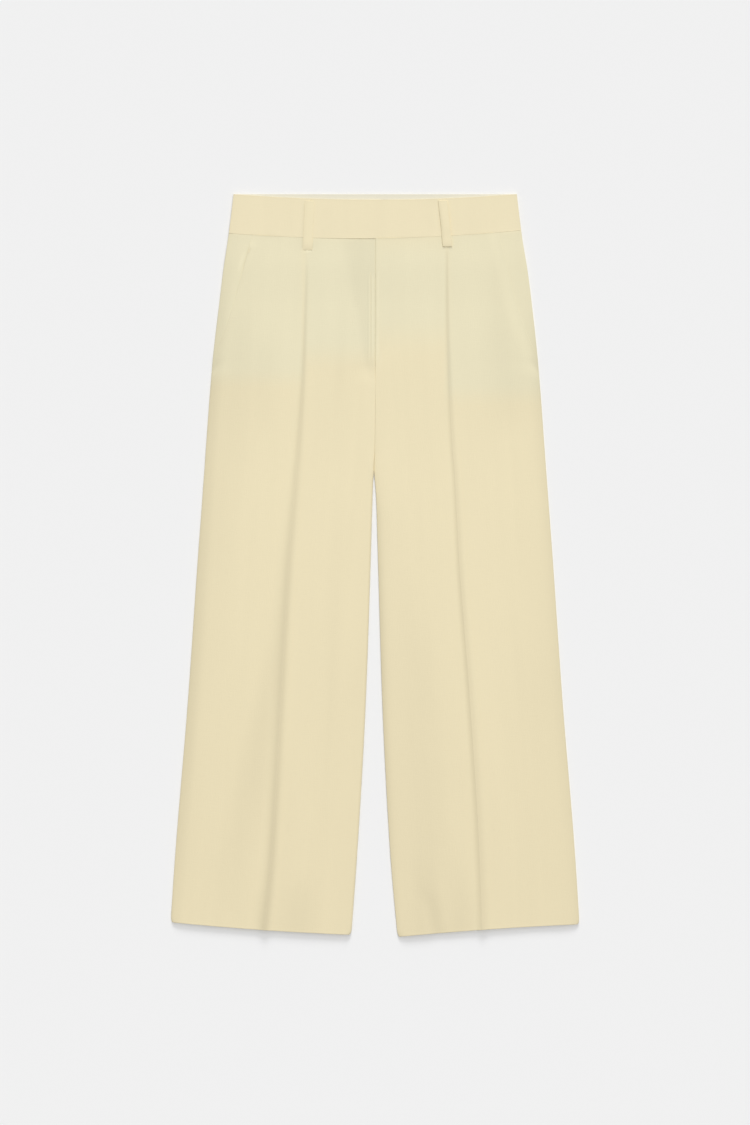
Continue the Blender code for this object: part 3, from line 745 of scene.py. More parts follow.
# Painted shadow lines at the very rim of the left side seam, over the hip and near the hem.
HIP_LINE_Y, HIP_LINE_EASE, HIP_LINE_DEEP, HIP_LINE_REACH = 200.0, 60.0, 0.055, 1.8
HEM_LINE_Y, HEM_LINE_EASE, HEM_LINE_DEEP, HEM_LINE_REACH = -440.0, 50.0, 0.100, 1.3
# Painted shade along the right leg's inner edge, where the cloth rolls down.
INNER_SHADE = table(
    EdgeShade,
    (-465, 0.015), (-400, 0.03), (-330, 0.055), (-230, 0.095), (-120, 0.115), (60, 0.085),
    (105, 0), (410, 0))
NEAR_SHARE, NEAR_REACH, FAR_REACH = 0.68, 6.0, 22.0
# A bead of height along the hem, and painted shade along its edge.
HEM_BEAD, HEM_BEAD_REACH, HEM_SHADE, HEM_SHADE_REACH = 0.15, 1.6, 0.012, 3.0


def edge_shade(leg, distance, y):
    """Tone beside a side seam at a distance from it: partly the turnings behind, partly painted
    shade.
    """
    deep = along(SIDE_SHADE[leg], "deep", y)
    if leg == RIGHT:
        return -deep * fade(distance, RIGHT_FADE)
    shaded_turnings = 1.0 - rising(distance, SHADED_TURNING, SHADED_TURNING_SOFT)
    hip_line = rising(y, HIP_LINE_Y, HIP_LINE_EASE) * fade(distance, HIP_LINE_REACH)
    hem_line = (1.0 - rising(y, HEM_LINE_Y, HEM_LINE_EASE)) * fade(distance, HEM_LINE_REACH)
    return (-deep * mix(fade(distance, LEFT_FADE), shaded_turnings, SHADED_TURNING_SHARE)
            - HIP_LINE_DEEP * hip_line - HEM_LINE_DEEP * hem_line)


print("tone 10 mm from the side seams at the knee:",
      [round(float(edge_shade(leg, 10.0, 0.0)), 3) for leg in (LEFT, RIGHT)])


# %% Marks of the belt loops, the waist seam and the pocket's mouth
# Painted shade around the foot of a belt loop and along the loop's edge that faces away from
# the light, and painted light in a thin strip just below its foot.
LoopMark = namedtuple("LoopMark", "foot_x top_x foot_y top_y around line line_width lit")
LOOP_MARKS = table(
    LoopMark,
    (-84.6, -82.1, 394.4, 455.6, 0.038, 0.062, 2.2, 0.12),
    (90.4, 84.4, 398.6, 456.4, 0.02, 0.04, 1, 0.115))
LOOP_HALF = 5.9            # half the width of a belt loop
FOOT_SHADE_WIDE, FOOT_SHADE_HIGH, FOOT_SHADE_UP = 13.0, 10.0, 6.0
LIT_WIDE, LIT_HIGH, LIT_DOWN = 6.0, 1.0, 0.8
LINE_END = 0.08            # share of a loop's length over which its line starts and stops


def loop_marks(x, y):
    """Painted shade around the feet and along the left edges of the front belt loops, and painted
    light below the feet.
    """
    tone = np.zeros_like(x)
    for mark in LOOP_MARKS:
        foot_shade = bell(x - mark.foot_x, FOOT_SHADE_WIDE) * bell(y - mark.foot_y - FOOT_SHADE_UP, FOOT_SHADE_HIGH)
        up = (y - mark.foot_y) / (mark.top_y - mark.foot_y)
        edge = mix(mark.foot_x, mark.top_x, up) - LOOP_HALF
        line = (smooth(up / LINE_END) * smooth((1.0 - up) / LINE_END)
                * bell(x - edge, mark.line_width))
        below_foot = (bell(y - mark.foot_y + LIT_DOWN, LIT_HIGH)
                      * np.exp(-((x - mark.foot_x) / LIT_WIDE) ** 4))
        tone = tone - mark.around * foot_shade - mark.line * line + mark.lit * below_foot
    return tone


# Painted shade along the waist seam: a dark line where it sinks between band and panel, fading
# elsewhere. A minus is painted light that takes away some of the shadow, where the edges lie
# close together.
SeamShade = namedtuple("SeamShade", "x deep")
SEAM_SHADE = table(
    SeamShade,
    (-182, 0.075), (-174, 0), (-160, 0), (-148, 0.08), (-135, 0.135), (-120, 0.075),
    (-108, 0.005), (-95, 0.025), (-86, 0), (-76, -0.08), (-66, -0.045), (-50, -0.035),
    (-30, -0.06), (-12, -0.05), (-2, -0.01), (6, 0.075), (24, 0.072), (60, 0.04), (72, 0),
    (98, 0), (116, 0.03), (138, 0.085), (150, 0), (162, -0.045), (172, -0.095), (184, -0.05))
SEAM_REACH = 1.0
# Painted shadow on the right front panel under the long band's lower edge, near the middle.
UNDER_TAB, UNDER_TAB_DEEP = (-2.0, 4.0, 34.0, 12.0), 0.07


def seam_shade(x, distance):
    """Painted shade beside the waist seam at a distance from it; painted light where the table
    has a minus.
    """
    return -along(SEAM_SHADE, "deep", x) * fade(distance, SEAM_REACH)


# The mouth of the left pocket: its edge is a painted shade line, and a painted highlight lies on
# the cloth behind it.
Mouth = namedtuple("Mouth", "y line gleam")
LEFT_MOUTH = table(
    Mouth,
    (336, 0, 0), (348, 0.035, 0), (360, 0, 0), (368, 0.015, 0.025), (376, 0.095, 0.05),
    (383, 0.065, 0.035), (392, 0.075, 0), (399, 0, 0))
GLEAM_BEHIND, GLEAM_WIDTH, MOUTH_LINE_REACH = 4.6, 2.4, 1.0


def mouth_shade(distance, y):
    """Painted highlight and shade line beside the left pocket's edge; the distance is a minus
    outside it, behind it.
    """
    gleam = bell(distance + GLEAM_BEHIND, GLEAM_WIDTH)
    line = fade(np.abs(distance), MOUTH_LINE_REACH)
    return along(LEFT_MOUTH, "gleam", y) * gleam - along(LEFT_MOUTH, "line", y) * line


print("the waist seam looks darkest at x", max(SEAM_SHADE, key=lambda row: row.deep).x, "mm")


# %% All the fine detail of a front panel
def front_details(leg, edges, x, y):
    """Beads and grooves a millimetre or two wide, and the tone beside edges, seams and loops:
    partly the turnings behind the cloth, partly painted light and shade.
    """
    row_y = edges.y
    from_hem = np.maximum(y - bent_y(HEM_ROW, x), 0.0)
    from_seam = bent_y(WAIST_ROW, x) - y
    from_side = np.abs(x - leg * side_x(leg, row_y))
    from_inner = np.abs(x - edges.inner)
    bead = HEM_BEAD * fade(from_hem, HEM_BEAD_REACH)
    tone = (edge_shade(leg, from_side, row_y) - HEM_SHADE * fade(from_hem, HEM_SHADE_REACH)
            + loop_marks(x, y) + seam_shade(x, from_seam))
    for line in INNER_LINES[leg]:
        part = (between(row_y, line.y_from, line.ease_in, line.y_to, line.ease_out)
                * fade(from_inner, line.reach))
        bead = bead + line.height * part
        tone = tone + line.tone * part
    for line in FLY_LINES[leg]:
        part = between(row_y, *ZIP_SPAN) * bell(x - line.x, line.half_width)
        bead = bead + line.height * part
        tone = tone + line.tone * part
    if leg == LEFT:
        return bead, tone + mouth_shade(np.abs(x - edges.outer), row_y)
    near = mix(fade(from_inner, FAR_REACH), bell(from_inner, NEAR_REACH), NEAR_SHARE)
    under_tab = between(x, *UNDER_TAB) * fade(from_seam, SEAM_REACH)
    return bead, tone - along(INNER_SHADE, "deep", row_y) * near - UNDER_TAB_DEEP * under_tab


FLY_STEPS = {
    LEFT: EDGE_STEPS[:8] + tuple(3.0 + 0.55 * step for step in range(27)) + (19.0, 23.0, 28.0),
    RIGHT: EDGE_STEPS[:6] + tuple(1.3 + 0.5 * step for step in range(11))
    + (7.5, 9.5, 12.0, 16.0, 21.0, 27.0),
}
SIDE_STEPS = EDGE_STEPS + (21.0, 27.0)
CREASE_STEPS = (0.15, 0.4, 0.8, 1.3, 2.0, 2.8, 3.7, 4.8, 6.0, 7.4, 9.0, 11.0, 14.0, 18.0)


def panel_columns(outer, inner, way, crease, outer_steps, inner_steps, crease_steps, counts):
    """Columns of a leg panel's grid, crowded at both edges and beside the crease."""
    from_outer = [outer + way * step for step in outer_steps]
    from_inner = [inner - way * step for step in reversed(inner_steps)]
    before = [crease - way * step for step in reversed(crease_steps)]
    after = [crease + way * step for step in crease_steps]
    return np.stack(from_outer + steps_between(from_outer[-1], before[0], counts[0])
                    + before + [crease] + after
                    + steps_between(after[-1], from_inner[0], counts[1]) + from_inner, axis=1)


print(2 * len(CREASE_STEPS) + 1, "columns at a front crease,", len(SIDE_STEPS), "at its side,",
      len(FLY_STEPS[LEFT]), "at the left edge of the fly")


# %% Sew the front legs
# Below the fly the middle seam is nearly closed up; it opens a little at the crotch.
SeamOpen = namedtuple("SeamOpen", "y radius")
MIDDLE_SEAM = table(
    SeamOpen,
    (120, 1), (134, 1), (143, 0.2), (196, 0.16), (204, 0.26), (210, 0.05), (262, 0.05),
    (288, 0.6), (410, 0.6))
# How thick the turned edge of a slant pocket looks, as a share of the wall.
PocketLip = namedtuple("PocketLip", "y share")
POCKET_LIP = {
    LEFT: table(
        PocketLip,
        (230, 1), (262, 0.25), (352, 0.3), (372, 0.85), (396, 0.8), (402, 0.3), (410, 0.3)),
    RIGHT: table(
        PocketLip,
        (230, 1), (262, 0.12), (410, 0.12)),
}
LIP_EASE, LAP_EDGE_WALL, LAP_EDGE_EASE = 16.0, 0.9, 6.0
# The first number is painted shade that grows towards the hems.
HEM_FALLOFF_SHADE, HIP_TONE, HIP_Y, HIP_EASE = -0.056, -0.018, 110.0, 100.0
HEM_WARMTH = 5.0           # a minus in backed turns the cloth warmer
WAIST_RIM, SEAM_RIM, OPEN_RIM = 0.06, 0.3, 0.5     # radius of an edge: pressed, sewn, open
CLOSE_BY, CLOSE_REACH = 0.25, 3.0  # below the pocket the rim comes down on the back leg's rim
PRESSED_REACH = 4.0        # how far from the crease the iron flattens the cloth
ROW_SPACING = 4.0
LEG_ROWS = spread_rows(HEM_ROW, WAIST_ROW, ROW_SPACING)


def rim_of(x, rows, first=OPEN_RIM, last=OPEN_RIM, low=OPEN_RIM, high=OPEN_RIM):
    """Each point's share of the wall, from the radius of the rim at the grid's four sides."""
    across = (quarter_circle(np.abs(x - x[:, :1]), first)
              * quarter_circle(np.abs(x - x[:, -1:]), last))
    up = quarter_circle(rows - rows[0], low) * quarter_circle(rows[-1] - rows, high)
    return across * up[:, None]


def painted_hem_falloff(y):
    """Painted shade: the cloth is drawn darker towards the hems."""
    return HEM_FALLOFF_SHADE * (1.0 - rising(y, HEM_ROW, WAIST_ROW - HEM_ROW))


def hip_tone(y):
    """Above the hips it looks a trace deeper."""
    return HIP_TONE * rising(y, HIP_Y, HIP_EASE)


def front_wall(leg, edges, x):
    """Wall of a front panel: thinner where a folded edge lies pressed on another layer."""
    lip = along(POCKET_LIP[leg], "share", edges.y)
    share = mix(lip, 1.0, smooth(np.abs(x - edges.outer) / LIP_EASE))
    if leg == RIGHT:
        lap = mix(LAP_EDGE_WALL, 1.0, smooth(np.abs(x - edges.inner) / LAP_EDGE_EASE))
        share = share * mix(1.0, lap, fly_part(edges.y))
    return PANEL_WALL * share


def sew_front_leg(leg, name):
    rows, crease = LEG_ROWS, crease_x(leg, LEG_ROWS)
    edges = front_edges(leg, rows)
    x = panel_columns(edges.outer, edges.inner, -leg, crease, SIDE_STEPS, FLY_STEPS[leg],
                      CREASE_STEPS, (16, 14))
    y = bent_y(rows[:, None], x)
    edges = in_columns(edges)
    lift, tone = front_form(leg, edges, x, y)
    bead, edge_tone = front_details(leg, edges, x, y)
    wall = front_wall(leg, edges, x)
    close = (CLOSE_BY * (1.0 - pocket_part(edges.y))
             * fade(np.abs(x - edges.outer), CLOSE_REACH))
    middle = on_back(rows)[:, None] + lift + bead - close + wall / 2
    from_crease = x - crease[:, None]
    inner_rim = mix(OPEN_RIM, along(MIDDLE_SEAM, "radius", edges.y),
                    rising(edges.y, CROTCH_Y - 10.0, 10.0))
    return shell(name, x, y, middle, wall,
                 rim_of(x, rows, SEAM_RIM, inner_rim, OPEN_RIM, WAIST_RIM),
                 (from_crease, y), [SUITING], tone=tone + edge_tone + painted_hem_falloff(y) + hip_tone(y),
                 backed=behind(x, y) + HEM_WARMTH * painted_hem_falloff(y),
                 pressed=fade(np.abs(from_crease), PRESSED_REACH))


front_left = sew_front_leg(LEFT, "front_leg_left_cloth")
front_right = sew_front_leg(RIGHT, "front_leg_right_cloth")

# %% [markdown]
# ## Back legs
#
# The back legs are hidden under the front, but they are whole, and they show at the open
# hems and from below. Their outer face lies flat on the table, apart from shallow
# hollows that lift it by less than a millimetre, wherever the front leaves room.

# %% Sew the back legs
BACK_CREASE_STEPS = (0.3, 1.0, 2.2, 4.0, 7.0, 11.0)
BACK_CREASE, BACK_CREASE_DEEP = 0.3, 0.5   # the back's crease and its painted shade, as shares of the front's
ROOM_SHARE = 0.6           # the back takes at most this share of the room under the front


def sew_back_leg(leg, name):
    rows, crease = LEG_ROWS, crease_x(leg, LEG_ROWS)
    outer = leg * (bent_side(leg, rows) - hem_corner(rows))
    inner = bent_inner(leg, rows) + leg * hem_corner(rows)
    x = panel_columns(outer, inner, -leg, crease, EDGE_STEPS, EDGE_STEPS, BACK_CREASE_STEPS,
                      (12, 9))
    y = bent_y(rows[:, None], x)
    room = front_form(leg, in_columns(front_edges(leg, rows)), x, y)[0]
    depth, deep = hollows(BACK_HOLLOWS, x, y)
    from_crease = x - crease[:, None]
    ridge, crease_deep = crease_form(leg, rows[:, None], from_crease)
    rise = np.minimum(depth + BACK_CREASE * ridge, ROOM_SHARE * room)
    middle = stand(rows)[:, None] + rise + BACK_WALL / 2
    return shell(name, x, y, middle, BACK_WALL, rim_of(x, rows), (from_crease, y), [SUITING],
                 tone=painted_hem_falloff(y) - deep - BACK_CREASE_DEEP * crease_deep)


back_left = sew_back_leg(LEFT, "back_leg_left_cloth")
back_right = sew_back_leg(RIGHT, "back_leg_right_cloth")

# %% [markdown]
# ## Pocket side pieces
#
# Behind a slant pocket edge shows a corner of the same cloth, sewn into the side seam and
# the waistband. It lies lower than the front panel, and that step, with a painted shade line and
# painted highlight along the left pocket's edge, makes the pocket edge read.

# %% Sew the pocket side pieces
PIECE_RISE, PIECE_RISE_Y, PIECE_RISE_EASE = 0.12, 398.0, 12.0    # up to the waistband's level
PIECE_ROLL, PIECE_ROLL_REACH = 0.2, 3.0
PIECE_BELOW = 2.0          # how far it runs on below the pocket's foot


def sew_pocket_side(leg, name):
    rows = spread_rows(POCKET_FOOT_Y - PIECE_BELOW, WAIST_ROW, ROW_SPACING)
    side, mouth = bent_side(leg, rows), pocket_edge_x(leg, rows)
    inner = np.minimum(mouth, side) - POCKET_UNDERLAP
    few = EDGE_STEPS[:8]
    x = leg * np.stack([side - step for step in few]
                       + steps_between(side - few[-1], inner + few[-1], 20)
                       + [inner + step for step in reversed(few)], axis=1)
    y = bent_y(rows[:, None], x)
    from_side = np.abs(x - x[:, :1])
    at_waist = rising(rows, PIECE_RISE_Y, PIECE_RISE_EASE)[:, None]
    roll = PIECE_ROLL * fade(from_side, PIECE_ROLL_REACH)
    if leg == RIGHT:
        roll = roll * (1.0 - at_waist)
    middle = on_back(rows)[:, None] + PIECE_RISE * at_waist - roll + PANEL_WALL / 2
    tone = (edge_shade(leg, from_side, rows[:, None]) + hip_tone(y)
            + seam_shade(x, bent_y(WAIST_ROW, x) - y))
    if leg == LEFT:
        tone = tone + mouth_shade(mouth[:, None] - np.abs(x), rows[:, None])
    return shell(name, x, y, middle, PANEL_WALL, rim_of(x, rows, high=WAIST_RIM), (x, y),
                 [SUITING], tone=tone, backed=behind(x, y))


pocket_left = sew_pocket_side(LEFT, "pocket_side_left_cloth")
pocket_right = sew_pocket_side(RIGHT, "pocket_side_right_cloth")

# %% [markdown]
# ## Waistband
#
# The waistband is cloth fused to a stiffener, so it lies flatter and a little paler than the
# legs. The back band shows only its inner face, a paler facing, as a narrow strip above
# the front. The long front band passes over the middle and ends in the tab, whose free lower
# edge throws the darkest line of the waist. A band is a strip: rows run across it and
# follow its curved seam, and its thickness rounds off at both long edges.

# %% Sew the three bands
TAB_END_X, UNDER_END_X = -83.0, 8.0
TAB_HIGH_TO, TAB_LOW_FROM = 9.0, 34.0
DOUBLE_WALL, END_WALL = 0.7, 0.6    # where two bands lie on each other they are pressed thinner
END_WALL_X, END_WALL_EASE, SHORT_EASE = -60.0, 50.0, 10.0
# TOP_TONE and FACING_TOP_TONE are painted shade along the upper edges of the front and back
# bands, and SIDE_TONE below is painted shade at the bands' ends; BAND_TONE makes a band a trace
# deeper all over.
BAND_TONE, TOP_TONE, FACING_TOP_TONE, TOP_REACH = -0.012, -0.09, -0.03, 0.9
SIDE_TONE = {LEFT: -0.055, RIGHT: -0.030}
SIDE_TONE_REACH = {LEFT: 3.0, RIGHT: 2.0}
BAND_END_RIM, BAND_TOP_RIM = 0.4, 0.25
BAND_STEPS = EDGE_STEPS[:9]
BAND_HEIGHT = 50.0         # its rows are spaced as shares of this
BAND_SPACING, BAND_ROW_SHARE, BAND_PRESSED, LONG_BAND_WAVE = 3.0, 0.06, 0.5, 0.08
WAVE_LONG, WAVE_SHORT, WAVE_SHIFT, WAVE_MARGIN = 41.0, 23.0, 1.3, 10.0


def level(height):
    """The same height or wall all along a band."""
    return lambda x: np.full_like(x, height)


def past_tab(x):
    """0 where the long band is the tab, 1 where it lies on the back band."""
    return rising(x, TAB_HIGH_TO, TAB_LOW_FROM - TAB_HIGH_TO)


def double_wall(x):
    """Wall of each of two bands that lie on each other, thinnest at the tab's end."""
    return mix(END_WALL, DOUBLE_WALL, rising(x, END_WALL_X, END_WALL_EASE))


def long_band_wall(x):
    return mix(double_wall(x), BAND_WALL, past_tab(x))


def short_band_wall(x):
    return mix(BAND_WALL, double_wall(x), rising(x, TAB_END_X - SHORT_EASE / 2, SHORT_EASE))


def band_height(x):
    """Underside of the long band: over the short band up to the middle, then lower."""
    return mix(ON_BACK_BAND + double_wall(x) + TAB_GAP, ON_BACK_BAND, past_tab(x))


def sew_band(name, from_x, to_x, upper_y, under_z, wall_at, finishes, wave=0.0, under_finish=0,
             top_tone=TOP_TONE):
    """A band from its two ends, its upper edge, its underside's height and its wall."""
    across = spread_rows(from_x, to_x, BAND_SPACING, BAND_STEPS)
    up = spread_rows(0.0, 1.0, BAND_ROW_SHARE, tuple(step / BAND_HEIGHT for step in BAND_STEPS))
    flat_x, part = np.meshgrid(across, up)
    low, high = seam_y(flat_x) + SEAM_GAP / 2, upper_y(flat_x)
    y = mix(low, high, part)
    x = flat_x * side_x(RIGHT, y) / WAIST_HALF_WIDTH
    ripple = (np.sin(flat_x / WAVE_SHORT + WAVE_SHIFT) * np.sin(flat_x / WAVE_LONG)
              * smooth(np.minimum(y - low, high - y) / WAVE_MARGIN))
    rim = (quarter_circle(np.minimum(flat_x - from_x, to_x - flat_x), BAND_END_RIM)
           * quarter_circle(high - y, BAND_TOP_RIM) * quarter_circle(y - low, WAIST_RIM))
    wall = wall_at(flat_x)
    middle = under_z(flat_x) + wall / 2 + wave * ripple
    # Painted shade along the upper edge and at the ends, with the loops' and the seam's painted
    # marks.
    tone = BAND_TONE + loop_marks(x, y) + seam_shade(x, y - low)
    tone = tone + top_tone * fade(high - y, TOP_REACH)
    for leg in (LEFT, RIGHT):
        from_side = np.abs(flat_x - leg * WAIST_HALF_WIDTH)
        tone = tone + SIDE_TONE[leg] * fade(from_side, SIDE_TONE_REACH[leg])
    return shell(name, x, y, middle, wall, rim, (x, y), finishes, tone=tone,
                 pressed=BAND_PRESSED, under_finish=under_finish)


band_back = sew_band("waistband_back_cloth", -WAIST_HALF_WIDTH, WAIST_HALF_WIDTH,
                     level(HALF_LENGTH), level(WAIST_STAND), level(BAND_WALL),
                     [FACING, BAND_SUITING], under_finish=1, top_tone=FACING_TOP_TONE)
band_left = sew_band("waistband_front_left_cloth", -WAIST_HALF_WIDTH, UNDER_END_X, front_top_y,
                     level(ON_BACK_BAND), short_band_wall, [BAND_SUITING])
band_right = sew_band("waistband_front_right_cloth", TAB_END_X, WAIST_HALF_WIDTH, front_top_y,
                      band_height, long_band_wall, [BAND_SUITING], wave=LONG_BAND_WAVE)

# %% [markdown]
# ## Belt loops
#
# A belt loop is a folded strip, 12 mm wide, sewn down at both ends and free between them. It
# stands a little off the waistband, and that gap, with painted shade along the loop's left edge,
# draws the dark line beside it. The right one has twisted: its left edge curls down and its foot
# stands off the cloth.

# %% Sew the belt loops
Loop = namedtuple("Loop", "name leg top_x foot_x top_y foot_y arch curl foot_lift foot_press "
                          "edge_press")
FRONT_LOOPS = table(
    Loop,
    ("belt_loop_front_left", LEFT, -82.1, -84.6, 455.6, 394.4, 0, 0, 0, 0.8, 0.75),
    ("belt_loop_front_right", RIGHT, 84.4, 90.4, 456.4, 398.6, 1.2, 1.4, 0.1, 0.1, 0))
BACK_LOOPS = table(
    Loop,
    ("belt_loop_back_left", LEFT, -104, -104, 460, 398, 0, 0, 0, 0, 0),
    ("belt_loop_back_middle", LEFT, 0, 0, 460, 398, 0, 0, 0, 0, 0),
    ("belt_loop_back_right", RIGHT, 104, 104, 460, 398, 0, 0, 0, 0, 0))
LOOP_STEPS, LOOP_SPACING, LOOP_PRESSED = EDGE_STEPS[:8], 1.5, 0.4
LOOP_MIDDLE = [-2.2, -1.1, 0.0, 1.1, 2.2]
LOOP_GRID = ([-LOOP_HALF + step for step in LOOP_STEPS] + LOOP_MIDDLE
             + [LOOP_HALF - step for step in reversed(LOOP_STEPS)])
LOOP_GAP = 0.05
FALL_ABOVE, FALL_BELOW = 3.0, 12.0    # around the seam it comes down from band to panel
ARCH_POWER, CURL_REACH = 0.7, 1.3
PRESS_REACH, LEFT_PRESS_REACH, RIGHT_PRESS_REACH, RIGHT_PRESS_SHARE = 3.5, 3.0, 2.0, 0.7
FOLD_DEPTH, FOLD_AT, FOLD_WIDTH = 0.12, 4.6, 0.5
# Painted shade on the loops at their top ends, lower parts, upper parts and left edges; the left
# loop's minus on its upper part is painted light. The first number makes them a trace deeper all
# over.
LOOP_TONE, LOOP_END_TONE, LOOP_END_REACH, LOOP_EDGE_REACH = -0.004, 0.10, 0.9, 1.6
LOOP_EDGE_TONE = {LEFT: 0.030, RIGHT: 0.040}
LOOP_FOOT_TONE, LOOP_FOOT_REACH = {LEFT: 0.035, RIGHT: 0.0}, 11.0
LOOP_TOP_TONE, LOOP_TOP_REACH = {LEFT: -0.012, RIGHT: 0.035}, 14.0


def panel_top(leg, x, y):
    """Highest place of a front panel's upper face under a loop's foot."""
    rows = np.array([y])
    lift = front_form(leg, front_edges(leg, rows), x, rows)[0]
    return float(on_back(y)) + float(lift.max()) + PANEL_WALL


def front_loop_form(loop, across, y):
    """Underside, downward curl and wall of a loop that runs from the band to the panel."""
    part = (y - loop.foot_y) / (loop.top_y - loop.foot_y)
    at = min(loop.top_x, loop.foot_x)
    band_top = max(float(band_height(at)) + float(long_band_wall(at)), ON_BACK_BAND + BAND_WALL)
    foot = panel_top(loop.leg, loop.foot_x + across, loop.foot_y) + LOOP_GAP + loop.foot_lift
    fall = rising(y, float(seam_y(loop.foot_x)) - FALL_BELOW, FALL_ABOVE + FALL_BELOW)
    swing = np.sin(math.pi * np.clip(part, 0.0, 1.0))
    under = mix(foot, band_top + LOOP_GAP, fall) + loop.arch * swing ** ARCH_POWER
    from_left, from_right = across + LOOP_HALF, LOOP_HALF - across
    curl = loop.curl * fade(from_left, CURL_REACH) * swing[:, None]
    at_foot = 1.0 - loop.foot_press * fade(y - loop.foot_y, PRESS_REACH)
    at_left = 1.0 - loop.edge_press * fade(from_left, LEFT_PRESS_REACH)
    at_right = 1.0 - RIGHT_PRESS_SHARE * loop.edge_press * fade(from_right, RIGHT_PRESS_REACH)
    return under, curl, LOOP_WALL * at_foot[:, None] * at_left * at_right


def sew_loop(loop):
    y = spread_rows(loop.foot_y, loop.top_y, LOOP_SPACING, LOOP_STEPS)
    part = (y - loop.foot_y) / (loop.top_y - loop.foot_y)
    across = np.array(LOOP_GRID)
    x = mix(loop.foot_x, loop.top_x, part)[:, None] + across
    under, curl, wall = np.zeros_like(y), 0.0, LOOP_WALL
    if loop in FRONT_LOOPS:
        under, curl, wall = front_loop_form(loop, across, y)
    fold_line = FOLD_DEPTH * bell(np.abs(across) - FOLD_AT, FOLD_WIDTH)
    middle = under[:, None] - curl - fold_line + wall / 2
    grid_y = np.broadcast_to(y[:, None], x.shape)
    tone = (LOOP_TONE - LOOP_END_TONE * fade(loop.top_y - grid_y, LOOP_END_REACH)
            - LOOP_FOOT_TONE[loop.leg] * bell(grid_y - loop.foot_y, LOOP_FOOT_REACH)
            - LOOP_TOP_TONE[loop.leg] * bell(loop.top_y - grid_y, LOOP_TOP_REACH)
            - LOOP_EDGE_TONE[loop.leg] * fade(across + LOOP_HALF, LOOP_EDGE_REACH))
    return shell(f"{loop.name}_cloth", x, grid_y, middle, wall, rim_of(x, y), (x, grid_y),
                 [SUITING], tone=tone, pressed=LOOP_PRESSED)


loops = [sew_loop(loop) for loop in FRONT_LOOPS + BACK_LOOPS]

# %% [markdown]
# ## Fly zip
#
# The lap hides the closed zip. It is a strip of woven tape with a coil of nylon along its
# middle. The coil's turns are small rods a millimetre apart, joined into one mesh.

# %% Tape and thread materials
NYLON_IOR = 1.53
TWIST_SHADE, TWIST_BUMP, TWIST_HEIGHT = 0.10, 0.3, 0.05 * MM


def thread_finish(name, hex_colour, roughness, across):
    """Smooth filament with a fine twist, such as sewing thread or a nylon coil."""
    made, shader = finish_named(name, Roughness=roughness, IOR=NYLON_IOR)
    place = node(made, "ShaderNodeTexCoord").outputs["Object"]
    twist = node(made, "ShaderNodeTexNoise", {"Vector": place}, in_Scale=1.0 / across,
                 in_Detail=2.0).outputs["Fac"]
    shade = node(made, "ShaderNodeMath", {0: twist}, operation="MULTIPLY_ADD",
                 in_1=TWIST_SHADE, in_2=1.0 - TWIST_SHADE / 2)
    colour = node(made, "ShaderNodeVectorMath", {"Scale": shade.outputs[0]}, operation="SCALE",
                  in_0=linear(hex_colour))
    bump = node(made, "ShaderNodeBump", {"Height": twist}, in_Strength=TWIST_BUMP,
                in_Distance=TWIST_HEIGHT)
    shade_and_bump(made, shader, colour, bump)
    return made


ZIP_TAPE = woven("woven_zip_tape", "e9dfc4", roughness=0.7, relief=0.6, thread=0.6 * MM)
NYLON_COIL = thread_finish("nylon_coil", "ebe2ca", 0.35, 0.5 * MM)
THREAD_FINISH = thread_finish("polyester_sewing_thread", "efe1b6", 0.55, 0.4 * MM)
TACK_FINISH = thread_finish("matching_tack_thread", "f1e6c4", 0.6, 0.4 * MM)
print("threads and coil:", [finish.name for finish in (NYLON_COIL, THREAD_FINISH, TACK_FINISH)])

# %% Rods and stitches as joined meshes
ROD_SIDES = 6
# A rod's rings: how far along it they are, and how thick it is there, as shares.
ROD_RINGS = ((-0.42, 0.7), (-0.2, 1.0), (0.2, 1.0), (0.42, 0.7))


def rod_form(length, thick):
    """Points and faces of one rounded rod along X, around its middle."""
    angles = [side * 2.0 * math.pi / ROD_SIDES for side in range(ROD_SIDES)]
    points = [(-0.5 * length, 0.0, 0.0)]
    for at, share in ROD_RINGS:
        radius = 0.5 * thick * share
        points += [(at * length, radius * math.cos(a), radius * math.sin(a)) for a in angles]
    points.append((0.5 * length, 0.0, 0.0))
    last = len(points) - 1
    around = [(side, (side + 1) % ROD_SIDES) for side in range(ROD_SIDES)]
    faces = [(0, 1 + after, 1 + side) for side, after in around]
    for low in range(1, last - ROD_SIDES, ROD_SIDES):
        high = low + ROD_SIDES
        faces += [(low + side, low + after, high + after, high + side) for side, after in around]
    faces += [(last, last - ROD_SIDES + side, last - ROD_SIDES + after) for side, after in around]
    return np.array(points), faces


print("a rod has", len(rod_form(1.0, 1.0)[1]), "faces")


def beads(name, centres, length, thick, turn, finish):
    """Many small rounded rods in one mesh, turned from X by an angle in degrees."""
    rod, rod_faces = rod_form(length, thick)
    a = math.radians(turn)
    spin = np.array([[math.cos(a), math.sin(a), 0.0], [-math.sin(a), math.cos(a), 0.0],
                     [0.0, 0.0, 1.0]])
    points = np.concatenate([(rod @ spin + centre) * MM for centre in centres])
    faces = [tuple(corner + number * len(rod) for corner in face)
             for number in range(len(centres)) for face in rod_faces]
    print(f"{name}: {len(centres)} rods")
    return add_piece(name, points.tolist(), faces, [finish])


# %% Make the zip
ZIP_FOOT_Y, ZIP_TOP_Y = 262.0, 404.0
TAPE_WALL, TAPE_GAP, TAPE_RIM = 0.4, 0.08, 0.2
TAPE_GRID = (0.0, 0.05, 0.2, 0.5, 2.0, 4.0, 6.7, 9.4, 11.4, 12.9, 13.2, 13.35, 13.4)
COIL_FOOT, COIL_TOP, COIL_PITCH, COIL_LIFT = 4.0, 2.0, 1.1, 0.25
COIL_WIDTH, COIL_THICK, COIL_LEAN = 4.6, 0.6, 4.0


